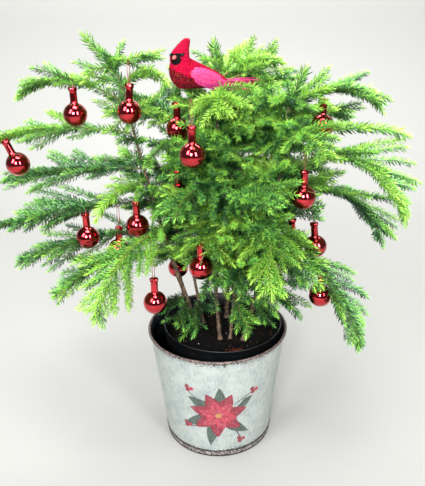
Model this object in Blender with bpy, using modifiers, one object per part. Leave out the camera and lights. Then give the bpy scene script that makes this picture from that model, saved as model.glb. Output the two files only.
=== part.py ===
# Norfolk island pine, several young plants in one nursery pot, standing in a zinc pot.
# Metres, +Z up. The origin is the centre of the zinc pot's flat underside, and the
# front of the plant faces -Y.

from collections import namedtuple
from math import cos, pi, radians, sin
from random import Random

import bmesh
import bpy
from mathutils import Vector

MM = 0.001
GAP = 0.3 * MM            # clearance that touching pieces keep
CUT_GAP = 0.6 * MM        # growth of a cutter, so that slanted faces keep about the gap
FLAT_ANGLE = radians(0.5)
WELD = 0.01 * MM
FINE_WELD = 0.005 * MM

# Zinc pot: a tapered tin with a rolled rim and a flat base
POT_HEIGHT = 148 * MM
POT_TOP_RADIUS = 83 * MM
POT_FOOT_RADIUS = 66 * MM
POT_WALL = 1.0 * MM
RIM_BEAD = 2.2 * MM
RIM_OUTSET = 0.2 * MM     # the bead's centre stands this far outside the wall's top
FOOT_EDGE = 1.0 * MM      # height of the slanted edge under the hem
HEM_HEIGHT = 9 * MM
HEM_PROUD = 0.8 * MM

# Black nursery pot standing inside, leaning towards the back right
LINER_X = 6.5 * MM
LINER_Y = 4 * MM
LINER_TOP = 151 * MM
LINER_TOP_RADIUS = 72 * MM
LINER_FOOT_RADIUS = 55 * MM
LINER_WALL = 1.2 * MM
LINER_LIP = 2.2 * MM
LINER_LIP_INSET = 0.2 * MM
LINER_LIP_DROP = 3        # the lip's skirt ends this many of its radii below the top
SOIL_TOP = 138 * MM
SOIL_CROWN = 2 * MM
SOIL_SHOULDER = 0.55      # share of the radius at which the crowned soil falls away
SOIL_SHOULDER_RISE = 0.7  # share of the crown's rise that is left there
TURN_STEPS = 32

# Stems: foot and top are centre points, bow is the sideways swell at half height,
# and nod is how far the leader above the last whorl leans over
Stem = namedtuple("Stem", "foot top bow nod foot_radius tip_radius")
STEMS = {
    "stem_left": Stem((-26, 12), (-108, 20, 484), (-8, 5), (-28, 0), 3.2, 0.8),
    "stem_left_thin": Stem((-17, 15), (-45, 35, 440), (-8, 5), (5, -5), 2.0, 0.7),
    "stem_centre": Stem((3, -22), (12, 5, 476), (-10, 0), (-12, 0), 2.2, 0.7),
    "stem_front": Stem((15, -21), (30, -35, 335), (0, 0), (5, -10), 1.8, 0.7),
    "stem_right": Stem((31, -24), (80, 5, 448), (9, 0), (16, 0), 2.8, 0.8),
    "stem_back": Stem((12, 30), (32, 58, 466), (0, 6), (-5, 8), 2.4, 0.8),
}
STEM_RINGS = 8
LIMB_SIDES = 6
FLARE_RINGS = 2
FLARE_STEP = 4.0
FLARE_END = 6.0           # from the last ring of the flare to the stem's plain taper
FLARE = 1.5
FOOT_BAND = 2.5 * MM      # height of the foot's slanted end that is cut level
NOD_FROM = 0.85
NOD_BEND = 1.4            # near 1, a leader leans over straight from its last whorl

# Boughs: each leaves its stem at a height, towards an azimuth (0 is +X, 270 the
# front), rising at first and dipping at its tip. half_width is that of its mass of
# needles, and bare is how much bough shows before the mass begins
Bough = namedtuple("Bough", "name stem height azimuth length rise dip half_width thick bare")
BOUGHS = (
    Bough("left_upper", "stem_left", 410, 180, 130, 40, -40, 30, 11, 35),
    Bough("left_long", "stem_left", 380, 185, 170, 12, -22, 40, 12, 35),
    Bough("left_rear", "stem_left", 340, 165, 190, 0, -18, 42, 12, 40),
    Bough("left_middle", "stem_left", 300, 195, 175, 5, -15, 44, 13, 35),
    Bough("left_low", "stem_left", 262, 190, 172, 5, -22, 38, 11, 35),
    Bough("left_lowest", "stem_left", 235, 205, 150, 15, -40, 36, 11, 35),
    Bough("left_front", "stem_left_thin", 275, 235, 185, 10, -65, 42, 13, 50),
    Bough("right_upper", "stem_right", 402, 0, 112, 45, -50, 38, 12, 35),
    Bough("right_bright", "stem_right", 340, 335, 172, 36, -85, 42, 13, 40),
    Bough("right_rear", "stem_right", 315, 20, 180, 8, -75, 46, 12, 40),
    Bough("right_lowest", "stem_right", 270, 332, 175, -18, -85, 36, 11, 45),
    Bough("right_long", "stem_right", 365, 350, 135, 30, -22, 18, 11, 0),
    Bough("left_arc", "stem_left", 305, 225, 95, 45, -75, 20, 9, 0),
    Bough("right_front", "stem_right", 268, 310, 88, -10, -45, 24, 10, 0),
    Bough("front_top", "stem_centre", 438, 268, 105, 5, -32, 46, 13, 0),
    Bough("front_lime", "stem_right", 285, 262, 115, 5, -70, 34, 11, 0),
    Bough("front_tuft", "stem_centre", 275, 262, 75, 10, -35, 26, 10, 0),
    Bough("front_middle", "stem_front", 330, 280, 80, 20, -20, 32, 11, 0),
    Bough("low_front", "stem_front", 195, 285, 55, -5, -45, 20, 8, 0),
    Bough("low_left", "stem_left", 180, 225, 42, 10, -35, 14, 7, 0),
    Bough("low_right", "stem_right", 205, 325, 62, 0, -50, 15, 8, 0),
    Bough("top_left", "stem_left", 430, 340, 62, 45, -50, 18, 9, 0),
    Bough("top_right", "stem_centre", 440, 25, 80, 30, -18, 26, 10, 0),
    Bough("centre_left", "stem_left_thin", 370, 250, 85, 10, -30, 34, 12, 0),
    Bough("centre_right", "stem_right", 390, 285, 90, 10, -35, 36, 12, 0),
    Bough("middle_left", "stem_centre", 330, 240, 90, 10, -35, 34, 12, 0),
    Bough("back_upper_left", "stem_left_thin", 395, 120, 130, 20, -30, 40, 13, 0),
    Bough("back_upper_right", "stem_back", 410, 60, 125, 25, -25, 40, 13, 0),
    Bough("back_left", "stem_left_thin", 325, 140, 155, 15, -35, 42, 13, 0),
    Bough("back_middle", "stem_back", 360, 98, 155, 15, -35, 44, 13, 0),
    Bough("back_right", "stem_back", 305, 50, 155, 5, -40, 42, 13, 0),
    Bough("back_low_left", "stem_left_thin", 250, 125, 130, 0, -45, 38, 12, 0),
    Bough("back_low_right", "stem_back", 245, 82, 135, -5, -50, 40, 12, 0),
    Bough("right_side", "stem_right", 385, 45, 125, 20, -30, 36, 12, 0),
)
BOUGH_RADIUS = 1.5
BOUGH_TIP_RADIUS = 0.9
BOUGH_REACH = 8           # how far a bough runs into its mass
FOOT_ROOM = 0.1 * MM      # more clearance at a bough's foot, as its stem bends
CROTCH = 15               # height over which a stem's lean is taken beside a bough
BEND = 1.3                # above 1, a bough keeps its rise and dips late
BOUGH_POINTS = 6
WALK_STEPS = 24
SPRAY_RINGS = 7
SPRAY_POINTS = 6
SPRAY_ROUGHNESS = 0.2
SPRAY_FOOT_BREADTH = 0.28
SPRAY_SKEW = 0.75         # below 1, a frond is widest before its middle
SPRAY_TIP_TAPER = 0.55    # share of its breadth that a frond loses by its tip
SPRAY_END_DEPTH = 0.6
SPRAY_TIP_THINNING = 0.35
SIDE_DROOP = 0.22         # the branchlets hang this share of the half width

# Masses of needles round the stems, each between two heights on its own stem
Crown = namedtuple("Crown", "stem low high radius")
CROWNS = {
    "crown_left": Crown("stem_left", 290, 492, 22),
    "crown_left_thin": Crown("stem_left_thin", 285, 446, 30),
    "crown_centre": Crown("stem_centre", 225, 482, 40),
    "crown_front": Crown("stem_front", 215, 345, 34),
    "crown_right": Crown("stem_right", 235, 456, 40),
    "crown_back": Crown("stem_back", 215, 474, 46),
}
CROWN_RINGS = 8
CROWN_POINTS = 7
CROWN_ROUGHNESS = 0.2
CROWN_END_BREADTH = 0.35
CROWN_SWELL_FROM = 0.1    # part of a half wave that a column's swell follows
CROWN_SWELL_SPAN = 0.72
CROWN_TIP_TAPER = 0.75
WHORL_SPACING = 48        # a stem bears its boughs in rings this far apart
WHORL_SWELL = 0.16


def clear_scene():
    for item in list(bpy.data.objects):
        bpy.data.objects.remove(item, do_unlink=True)


def new_collection(name):
    group = bpy.data.collections.new(name)
    bpy.context.scene.collection.children.link(group)
    return group


def finish_material(name, colour, roughness, metallic=0.0):
    material = bpy.data.materials.new(name)
    material.use_nodes = True
    shader = material.node_tree.nodes["Principled BSDF"]
    shader.inputs["Base Color"].default_value = (*colour, 1.0)
    shader.inputs["Roughness"].default_value = roughness
    shader.inputs["Metallic"].default_value = metallic
    return material


def mesh_object(name, mesh, group, material=None):
    item = bpy.data.objects.new(name, mesh)
    group.objects.link(item)
    if material:
        mesh.materials.clear()
        mesh.materials.append(material)
    return item


# Pots and soil: profiles turned about an upright axis

def turned(name, profile, centre, material):
    """A profile from the axis, down its outer side and back to it, turned about Z."""
    mesh = bpy.data.meshes.new(name)
    edges = [(i, i + 1) for i in range(len(profile) - 1)]
    mesh.from_pydata([(r, 0.0, z) for r, z in profile], edges, [])
    item = mesh_object(name, mesh, PIECES, material)
    item.location = (centre[0], centre[1], 0.0)
    screw = item.modifiers.new("turn", "SCREW")
    screw.steps = TURN_STEPS
    screw.render_steps = TURN_STEPS
    screw.use_merge_vertices = True
    screw.merge_threshold = WELD
    screw.use_smooth_shade = True


def wall_radius(z, foot_radius, top_radius, height):
    return foot_radius + (top_radius - foot_radius) * z / height


def arc_points(centre, radius, start, stop, count):
    angles = [radians(start + (stop - start) * i / (count - 1)) for i in range(count)]
    return [(centre[0] + radius * cos(a), centre[1] + radius * sin(a)) for a in angles]


def build_zinc_pot():
    bead = (POT_TOP_RADIUS + RIM_OUTSET, POT_HEIGHT - RIM_BEAD)
    hem_top = wall_radius(HEM_HEIGHT, POT_FOOT_RADIUS, POT_TOP_RADIUS, POT_HEIGHT)
    profile = [(0.0, POT_WALL), (POT_FOOT_RADIUS - POT_WALL, POT_WALL)]
    profile += arc_points(bead, RIM_BEAD, 150, -90, 5)
    profile += [
        (hem_top, HEM_HEIGHT + HEM_PROUD),
        (hem_top + HEM_PROUD, HEM_HEIGHT),
        (POT_FOOT_RADIUS + HEM_PROUD, FOOT_EDGE),
        (POT_FOOT_RADIUS, 0.0),
        (0.0, 0.0),
    ]
    turned("zinc_pot", profile, (0.0, 0.0), ZINC)


def build_nursery_pot():
    floor = POT_WALL + GAP
    lip = (LINER_TOP_RADIUS - LINER_LIP_INSET, LINER_TOP - LINER_LIP)
    inner_top = LINER_TOP_RADIUS - LINER_WALL
    profile = [
        (0.0, floor + LINER_WALL),
        (LINER_FOOT_RADIUS - LINER_WALL, floor + LINER_WALL),
        (inner_top, LINER_TOP - LINER_LIP),
    ]
    profile += arc_points(lip, LINER_LIP, 120, -60, 4)
    profile += [
        (LINER_TOP_RADIUS, LINER_TOP - LINER_LIP_DROP * LINER_LIP),
        (LINER_FOOT_RADIUS, floor),
        (0.0, floor),
    ]
    turned("nursery_pot", profile, (LINER_X, LINER_Y), BLACK_PLASTIC)


def build_soil():
    floor = POT_WALL + GAP + LINER_WALL + GAP
    depth = LINER_TOP - floor
    foot = LINER_FOOT_RADIUS - LINER_WALL - 2 * GAP
    edge = foot + (LINER_TOP_RADIUS - LINER_FOOT_RADIUS) * (SOIL_TOP - floor) / depth
    profile = [
        (0.0, SOIL_TOP + SOIL_CROWN),
        (SOIL_SHOULDER * edge, SOIL_TOP + SOIL_SHOULDER_RISE * SOIL_CROWN),
        (edge, SOIL_TOP - SOIL_CROWN),
        (foot, floor),
        (0.0, floor),
    ]
    turned("soil", profile, (LINER_X, LINER_Y), SOIL)


# Curves that the stems and boughs follow

def soil_height(x, y):
    """Height of the soil's upper face under a point, just above the faceted crown."""
    spread = Vector((x - LINER_X, y - LINER_Y)).length / (SOIL_SHOULDER * LINER_TOP_RADIUS)
    return SOIL_TOP + SOIL_CROWN * (1.0 - (1.0 - SOIL_SHOULDER_RISE) * min(spread, 1.0)) + GAP


def stem_point(name, height):
    """Centre of a stem at a height in millimetres."""
    stem = STEMS[name]
    foot_z = soil_height(stem.foot[0] * MM, stem.foot[1] * MM) / MM
    t = (height - foot_z) / (stem.top[2] - foot_z)
    swell = 4.0 * t * (1.0 - t)
    over = max(0.0, (t - NOD_FROM) / (1.0 - NOD_FROM)) ** NOD_BEND
    x, y = (
        stem.foot[i] + (stem.top[i] - stem.foot[i]) * t + stem.bow[i] * swell + stem.nod[i] * over
        for i in (0, 1)
    )
    return Vector((x, y, height)) * MM


def stem_radius(name, height):
    stem = STEMS[name]
    t = (height - SOIL_TOP / MM) / (stem.top[2] - SOIL_TOP / MM)
    return (stem.foot_radius + (stem.tip_radius - stem.foot_radius) * t) * MM


def bough_path(bough):
    """Points and directions along a bough, walked out from its stem's centre."""
    point = stem_point(bough.stem, bough.height)
    turn = radians(bough.azimuth)
    points = [point.copy()]
    headings = []
    step = bough.length * MM / WALK_STEPS
    for i in range(WALK_STEPS):
        share = (i + 0.5) / WALK_STEPS
        tilt = radians(bough.rise + (bough.dip - bough.rise) * share ** BEND)
        heading = Vector((cos(tilt) * cos(turn), cos(tilt) * sin(turn), sin(tilt)))
        point = point + heading * step
        points.append(point.copy())
        headings.append(heading)
    headings.append(headings[-1])
    return points, headings


def along(points, headings, share):
    """Point and direction at a share of the way along a walked path."""
    place = share * (len(points) - 1)
    low = min(int(place), len(points) - 2)
    return points[low].lerp(points[low + 1], place - low), headings[low]


# Round limbs: bevelled curves, made meshes with their caps welded

def limb(name, points, radii, group, material=None):
    curve = bpy.data.curves.new(name, "CURVE")
    curve.dimensions = "3D"
    curve.bevel_depth = 1.0
    curve.bevel_resolution = LIMB_SIDES // 2 - 2
    curve.use_fill_caps = True
    spline = curve.splines.new("POLY")
    spline.points.add(len(points) - 1)
    for spot, place, radius in zip(spline.points, points, radii):
        spot.co = (*place, 1.0)
        spot.radius = radius
    draft = bpy.data.objects.new(name + "_curve", curve)
    group.objects.link(draft)
    bpy.context.view_layer.update()
    evaluated = draft.evaluated_get(bpy.context.evaluated_depsgraph_get())
    mesh = bpy.data.meshes.new_from_object(evaluated)
    mesh.name = name
    bpy.data.objects.remove(draft, do_unlink=True)
    shape = bmesh.new()
    shape.from_mesh(mesh)
    bmesh.ops.remove_doubles(shape, verts=shape.verts, dist=WELD)
    bmesh.ops.recalc_face_normals(shape, faces=shape.faces)
    bmesh.ops.triangulate(shape, faces=shape.faces)
    shape.to_mesh(mesh)
    shape.free()
    mesh.shade_smooth()
    return mesh_object(name, mesh, group, material)


def stem_line(name, grow=0.0):
    stem = STEMS[name]
    foot_z = soil_height(stem.foot[0] * MM, stem.foot[1] * MM) / MM
    heights = [foot_z + FLARE_STEP * i for i in range(FLARE_RINGS)]
    first = heights[-1] + FLARE_END
    heights += [first + (stem.top[2] - first) * i / STEM_RINGS for i in range(STEM_RINGS + 1)]
    points = [stem_point(name, h) for h in heights]
    radii = [stem_radius(name, h) + grow for h in heights]
    radii[0] = stem.foot_radius * FLARE * MM + grow
    radii[1] = stem.foot_radius * (1.0 + FLARE) / 2.0 * MM + grow
    if grow:
        points[-1] = points[-1] + Vector((0.0, 0.0, CUT_GAP))
    return points, radii


def level_foot(item, height):
    """The cut face that stands on the soil is level."""
    lowest = min(v.co.z for v in item.data.vertices)
    for vertex in item.data.vertices:
        if vertex.co.z < lowest + FOOT_BAND:
            vertex.co.z = height


def build_stem(name):
    points, radii = stem_line(name)
    item = limb(name, points, radii, PIECES, BARK)
    level_foot(item, points[0].z)


def bough_line(bough, grow=0.0):
    """The bare bough: from its stem's surface to a little way inside its mass."""
    points, headings = bough_path(bough)
    length = bough.length * MM
    stem_way = stem_point(bough.stem, bough.height + CROTCH) - points[0]
    slant = abs(headings[0].dot(stem_way.normalized()))
    reach = stem_radius(bough.stem, bough.height) + GAP + BOUGH_RADIUS * MM * slant
    start = (reach / (1.0 - slant ** 2) ** 0.5 + FOOT_ROOM) / length
    stop = (bough.bare + BOUGH_REACH) * MM / length
    steps = [i / (BOUGH_POINTS - 1) for i in range(BOUGH_POINTS)]
    line = [along(points, headings, start + (stop - start) * step)[0] for step in steps]
    taper = [BOUGH_RADIUS + (BOUGH_TIP_RADIUS - BOUGH_RADIUS) * step for step in steps]
    if grow:
        line[0] = line[0] - headings[0] * grow
        line[-1] = line[-1] + along(points, headings, stop)[1] * grow
    return line, [r * MM + grow for r in taper]


# Masses of needles: lofts of uneven rings, triangulated by hand so that a grown
# copy has the same facets

def loft(name, rings, group, material=None):
    shape = bmesh.new()
    rows = [[shape.verts.new(p) for p in ring] for ring in rings]
    count = len(rows[0])
    for row, after in zip(rows, rows[1:]):
        for i in range(count):
            j = (i + 1) % count
            shape.faces.new((row[i], row[j], after[j]))
            shape.faces.new((row[i], after[j], after[i]))
    for row in (rows[0], rows[-1]):
        hub = shape.verts.new(sum((v.co for v in row), Vector()) / count)
        for i in range(count):
            shape.faces.new((row[i], row[(i + 1) % count], hub))
    bmesh.ops.recalc_face_normals(shape, faces=shape.faces)
    if shape.calc_volume(signed=True) < 0:
        bmesh.ops.reverse_faces(shape, faces=shape.faces)
    mesh = bpy.data.meshes.new(name)
    shape.to_mesh(mesh)
    shape.free()
    return mesh_object(name, mesh, group, material)


def spray_rings(bough, grow=0.0):
    """A flat frond: widest near the middle, its sides hanging a little."""
    points, headings = bough_path(bough)
    uneven = Random(bough.name)
    turn = radians(bough.azimuth)
    side = Vector((-sin(turn), cos(turn), 0.0))
    beside = stem_radius(bough.stem, bough.height) + CUT_GAP + FOOT_ROOM
    first = max(bough.bare * MM, beside) / (bough.length * MM)
    rings = []
    for k in range(SPRAY_RINGS):
        share = k / (SPRAY_RINGS - 1)
        centre, heading = along(points, headings, first + (1.0 - first) * share)
        upward = heading.cross(side)
        fullness = sin(pi * share ** SPRAY_SKEW)
        breadth = SPRAY_FOOT_BREADTH + (1.0 - SPRAY_FOOT_BREADTH) * fullness
        breadth *= 1.0 - SPRAY_TIP_TAPER * share ** 2
        depth = SPRAY_END_DEPTH + (1.0 - SPRAY_END_DEPTH) * sin(pi * share)
        depth *= 1.0 - SPRAY_TIP_THINNING * share
        wide = bough.half_width * MM * breadth
        if k == 0:
            centre = centre - heading * grow
        if k == SPRAY_RINGS - 1:
            centre = centre + heading * grow
        ring = []
        for i in range(SPRAY_POINTS):
            angle = 2.0 * pi * i / SPRAY_POINTS
            rough = 1.0 + uneven.uniform(-SPRAY_ROUGHNESS, SPRAY_ROUGHNESS)
            across = (wide * rough + grow) * cos(angle)
            over = (bough.thick * MM * depth * rough + grow) * sin(angle)
            hang = SIDE_DROOP * wide * cos(angle) ** 2
            ring.append(centre + side * across + upward * (over - hang))
        rings.append(ring)
    return rings


def crown_rings(name, grow=0.0):
    """An uneven column of needles round a stem, drawn in at both ends."""
    crown = CROWNS[name]
    uneven = Random(name)
    rings = []
    for k in range(CROWN_RINGS):
        share = k / (CROWN_RINGS - 1)
        height = crown.low + (crown.high - crown.low) * share
        centre = stem_point(crown.stem, min(height, STEMS[crown.stem].top[2]))
        centre.z = height * MM
        if k == 0:
            centre.z -= grow
        if k == CROWN_RINGS - 1:
            centre.z += grow
        fullness = sin(pi * (CROWN_SWELL_FROM + CROWN_SWELL_SPAN * share))
        swell = CROWN_END_BREADTH + (1.0 - CROWN_END_BREADTH) * fullness
        swell *= 1.0 - CROWN_TIP_TAPER * share ** 3
        swell *= 1.0 + WHORL_SWELL * sin(2.0 * pi * height / WHORL_SPACING)
        ring = []
        for i in range(CROWN_POINTS):
            angle = 2.0 * pi * i / CROWN_POINTS
            rough = 1.0 + uneven.uniform(-CROWN_ROUGHNESS, CROWN_ROUGHNESS)
            radius = crown.radius * MM * swell * rough + grow
            ring.append(centre + Vector((cos(angle), sin(angle), 0.0)) * radius)
        rings.append(ring)
    return rings


def box_of(item):
    places = [item.matrix_world @ v.co for v in item.data.vertices]
    low = Vector([min(p[i] for p in places) for i in range(3)])
    high = Vector([max(p[i] for p in places) for i in range(3)])
    return low, high


def boxes_meet(a, b):
    return all(a[0][i] < b[1][i] and b[0][i] < a[1][i] for i in range(3))


def keep_largest_island(shape):
    """Delete all of a cut mesh but its largest closed island."""
    left = set(shape.verts)
    islands = []
    while left:
        front = [left.pop()]
        island = list(front)
        while front:
            spot = front.pop()
            for edge in spot.link_edges:
                other = edge.other_vert(spot)
                if other in left:
                    left.remove(other)
                    front.append(other)
                    island.append(other)
        islands.append(island)

    def volume(island):
        faces = {f for v in island for f in v.link_faces}
        total = 0.0
        for face in faces:
            a, b, c = (v.co for v in face.verts[:3])
            total += a.dot(b.cross(c)) / 6.0
        return total

    islands.sort(key=volume)
    for island in islands[:-1]:
        bmesh.ops.delete(shape, geom=island, context="VERTS")


def cut_mass(item, cutters):
    """Take the cutters that reach a mass out of it, and keep its largest part."""
    box = box_of(item)
    for cutter, cutter_box in cutters:
        if boxes_meet(box, cutter_box):
            cut = item.modifiers.new("cut", "BOOLEAN")
            cut.operation = "DIFFERENCE"
            cut.solver = "EXACT"
            cut.object = cutter
    bpy.context.view_layer.update()
    evaluated = item.evaluated_get(bpy.context.evaluated_depsgraph_get())
    mesh = bpy.data.meshes.new_from_object(evaluated)
    item.modifiers.clear()
    shape = bmesh.new()
    shape.from_mesh(mesh)
    bmesh.ops.triangulate(shape, faces=shape.faces)
    bmesh.ops.remove_doubles(shape, verts=shape.verts, dist=FINE_WELD)
    bmesh.ops.dissolve_degenerate(shape, edges=shape.edges, dist=FINE_WELD)
    keep_largest_island(shape)
    flatter = shape.copy()
    bmesh.ops.dissolve_limit(
        flatter, angle_limit=FLAT_ANGLE, verts=flatter.verts, edges=flatter.edges
    )
    bmesh.ops.triangulate(flatter, faces=flatter.faces)
    closed = all(edge.is_manifold for edge in flatter.edges)
    best = flatter if closed else shape
    bmesh.ops.triangulate(best, faces=best.faces)
    best.to_mesh(mesh)
    flatter.free()
    shape.free()
    item.data = mesh


def hide_cutter(item):
    item.hide_render = True
    item.display_type = "WIRE"


def build_plant():
    cutters = []

    def add_cutter(item):
        hide_cutter(item)
        cutters.append((item, box_of(item)))

    for name in STEMS:
        build_stem(name)
        points, radii = stem_line(name, grow=CUT_GAP)
        add_cutter(limb("cut_" + name, points, radii, CUTTERS))
    for bough in BOUGHS:
        if bough.bare:
            line, radii = bough_line(bough)
            limb("bough_" + bough.name, line, radii, PIECES, BARK)
            line, radii = bough_line(bough, grow=CUT_GAP)
            add_cutter(limb("cut_bough_" + bough.name, line, radii, CUTTERS))
    for bough in BOUGHS:
        mass = loft("spray_" + bough.name, spray_rings(bough), PIECES, NEEDLES)
        cut_mass(mass, cutters)
        add_cutter(loft("cut_spray_" + bough.name, spray_rings(bough, CUT_GAP), CUTTERS))
    for name in CROWNS:
        mass = loft(name, crown_rings(name), PIECES, NEEDLES)
        cut_mass(mass, cutters)
        add_cutter(loft("cut_" + name, crown_rings(name, CUT_GAP), CUTTERS))


clear_scene()
PIECES = new_collection("norfolk_island_pine")
CUTTERS = new_collection("cutters")
ZINC = finish_material("zinc", (0.55, 0.60, 0.62), 0.45, 0.8)
BLACK_PLASTIC = finish_material("black_plastic", (0.01, 0.01, 0.012), 0.4)
SOIL = finish_material("soil", (0.025, 0.018, 0.012), 0.95)
BARK = finish_material("bark", (0.16, 0.10, 0.06), 0.85)
NEEDLES = finish_material("needles", (0.07, 0.22, 0.04), 0.55)
build_zinc_pot()
build_nursery_pot()
build_soil()
build_plant()
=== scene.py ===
# %% [markdown]
# # A young Norfolk Island pine, dressed for Christmas
# Shops sell this tree as a handful of seedlings in one nursery pot, slipped into a
# decorative tin. This lesson dresses the bare frame of the model: bark, twigs, needles,
# tin, potting mix, glass balls and a felt bird. The frame gives the places, and every
# piece made here rides on it, so nothing has to be fitted afterwards.
# %% Frame
from collections import namedtuple
from math import cos, pi, radians, sin

import bmesh
import bpy
import numpy as np
from mathutils import Matrix, Vector, noise


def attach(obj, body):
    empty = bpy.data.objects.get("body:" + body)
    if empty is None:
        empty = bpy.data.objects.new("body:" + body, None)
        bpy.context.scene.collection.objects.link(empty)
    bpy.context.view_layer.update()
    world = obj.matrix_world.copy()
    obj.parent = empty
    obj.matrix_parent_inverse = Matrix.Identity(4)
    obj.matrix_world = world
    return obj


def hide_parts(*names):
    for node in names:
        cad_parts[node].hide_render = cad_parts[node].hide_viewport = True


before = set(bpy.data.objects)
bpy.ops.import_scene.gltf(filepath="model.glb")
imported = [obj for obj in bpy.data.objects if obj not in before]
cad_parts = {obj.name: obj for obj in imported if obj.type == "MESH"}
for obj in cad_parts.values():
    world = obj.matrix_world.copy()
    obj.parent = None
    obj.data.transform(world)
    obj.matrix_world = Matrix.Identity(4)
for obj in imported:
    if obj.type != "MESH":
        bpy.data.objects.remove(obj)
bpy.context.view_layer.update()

MM = 0.001
BODY = "root"

# %% [markdown]
# ## Numbers in a material
# A shader graph is arithmetic drawn with wires. Wrapping a socket in a small class, with
# the usual operators, lets a formula be written as a formula: each sign adds a Math node.
# %% Wire
class Wire:
    """A number that changes over a surface. Arithmetic on it adds Math nodes."""

    def __init__(self, finish, socket):
        self.finish = finish
        self.socket = socket

    def _maths(self, operation, first, second):
        return self.finish.node("Math", {"operation": operation}, {0: first, 1: second})

    def __add__(self, other):
        return self._maths("ADD", self, other)

    __radd__ = __add__

    def __sub__(self, other):
        return self._maths("SUBTRACT", self, other)

    def __rsub__(self, other):
        return self._maths("SUBTRACT", other, self)

    def __mul__(self, other):
        return self._maths("MULTIPLY", self, other)

    __rmul__ = __mul__

    def past(self, edge, softness):
        """0 below an edge, 1 above it, over a soft step."""
        return self.finish.node(
            "MapRange",
            {"interpolation_type": "SMOOTHSTEP"},
            {"Value": self, "From Min": edge - softness, "From Max": edge + softness},
        )


# %% [markdown]
# ## Finishes
# Each finish starts from one Principled shader whose steady values sit on its own
# sockets. Only what varies over the surface is wired. One method, `node`, adds any other
# node: its type, then its settings, then what its sockets hold.
# %% Finish
def paint(red, green, blue):
    """A colour as it looks on a screen, 0 to 255, as the linear numbers shaders use."""
    parts = (c / 255 for c in (red, green, blue))
    return tuple(((c + 0.055) / 1.055) ** 2.4 if c > 0.04 else c / 12.92 for c in parts) + (1.0,)


class Finish:
    """A material in the making."""

    def __init__(self, name, colour, roughness, metallic=0.0, **steady):
        self.material = bpy.data.materials.new(name)
        self.material.use_nodes = True
        self.tree = self.material.node_tree
        self.shader = self.tree.nodes["Principled BSDF"]
        self.shader.inputs["Base Color"].default_value = colour
        self.shader.inputs["Roughness"].default_value = roughness
        self.shader.inputs["Metallic"].default_value = metallic
        for socket, value in steady.items():
            self.shader.inputs[socket.replace("_", " ")].default_value = value

    def plug(self, socket, value):
        if isinstance(value, Wire):
            self.tree.links.new(value.socket, socket)
        else:
            socket.default_value = value

    def node(self, kind, settings, sockets, output=0):
        made = self.tree.nodes.new("ShaderNode" + kind)
        for key, value in settings.items():
            setattr(made, key, value)
        for key, value in sockets.items():
            self.plug(made.inputs[key], value)
        return Wire(self, made.outputs[output])

    def place(self):
        """Where a point is on the object, in metres."""
        return self.node("TexCoord", {}, {}, "Object")

    def height(self):
        return self.node("SeparateXYZ", {}, {0: self.place()}, "Z")

    def grain(self, size, detail=4.0, rough=0.6, where=None):
        """Noise between 0 and 1, with blotches of about a given size."""
        values = {"Scale": 0.5 / size, "Detail": detail, "Roughness": rough}
        values["Vector"] = where or self.place()
        return self.node("TexNoise", {}, values)

    def mix(self, share, first, second):
        sockets = {0: share, 6: first, 7: second}
        return self.node("Mix", {"data_type": "RGBA"}, sockets, 2)

    def colour(self, value):
        self.plug(self.shader.inputs["Base Color"], value)

    def flecked(self, spots, edge, softness, dark, pale):
        """Two colours, told apart by where some noise rises past an edge."""
        self.colour(self.mix(spots.past(edge, softness), dark, pale))

    def roughness(self, value):
        self.plug(self.shader.inputs["Roughness"], value)

    def relief(self, height, depth):
        """Fine relief, too small to model. depth is in metres."""
        bump = self.node("Bump", {}, {"Strength": 1.0, "Distance": depth, "Height": height}, "Normal")
        self.plug(self.shader.inputs["Normal"], bump)


# %% [markdown]
# ## Meshes from arrays
# Thousands of needles are quickest as arrays of points and corners handed to Blender in
# one go. `build` does that for every piece, hangs it on the frame body it rides on, and
# hides the solids of the frame that it stands for.
# %% Build
def build(name, points, corners, finishes, slot, stands_for=(), marks=None, smooth=True):
    """A piece from an array of points and an array of faces with equal corners."""
    points = np.asarray(points, np.float32)
    corners = np.asarray(corners, np.int32)
    mesh = bpy.data.meshes.new(name)
    mesh.vertices.add(len(points))
    mesh.vertices.foreach_set("co", points.ravel())
    mesh.loops.add(corners.size)
    mesh.loops.foreach_set("vertex_index", corners.ravel())
    mesh.polygons.add(len(corners))
    starts = np.arange(0, corners.size, corners.shape[1], dtype=np.int32)
    mesh.polygons.foreach_set("loop_start", starts)
    for finish in finishes:
        mesh.materials.append(finish.material)
    if marks is not None:
        mesh.polygons.foreach_set("material_index", np.asarray(marks, np.int32))
    mesh.polygons.foreach_set("use_smooth", np.full(len(corners), smooth))
    mesh.update(calc_edges=True)
    mesh.validate()
    made = bpy.data.objects.new(name, mesh)
    bpy.context.scene.collection.objects.link(made)
    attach(made, BODY)
    if stands_for:
        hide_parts(*stands_for)
    print(f"{name}: {len(points)} points, {corners.size - 2 * len(corners)} triangles")
    return made


def weld(made, distance=0.01 * MM):
    """Close the seams and poles of a piece whose points meet."""
    shape = bmesh.new()
    shape.from_mesh(made.data)
    bmesh.ops.remove_doubles(shape, verts=shape.verts, dist=distance)
    bmesh.ops.recalc_face_normals(shape, faces=shape.faces)
    shape.to_mesh(made.data)
    shape.free()


def gather(parts):
    """Join arrays of points and faces into one pair of arrays."""
    starts = np.cumsum([0] + [len(points) for points, _ in parts[:-1]])
    points = np.concatenate([points for points, _ in parts])
    corners = np.concatenate([faces + start for (_, faces), start in zip(parts, starts)])
    return points, corners


def unit(vectors):
    return vectors / np.linalg.norm(vectors, axis=-1, keepdims=True)


UP = np.array((0.0, 0.0, 1.0))
RIGHT = np.array((1.0, 0.0, 0.0))

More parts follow.
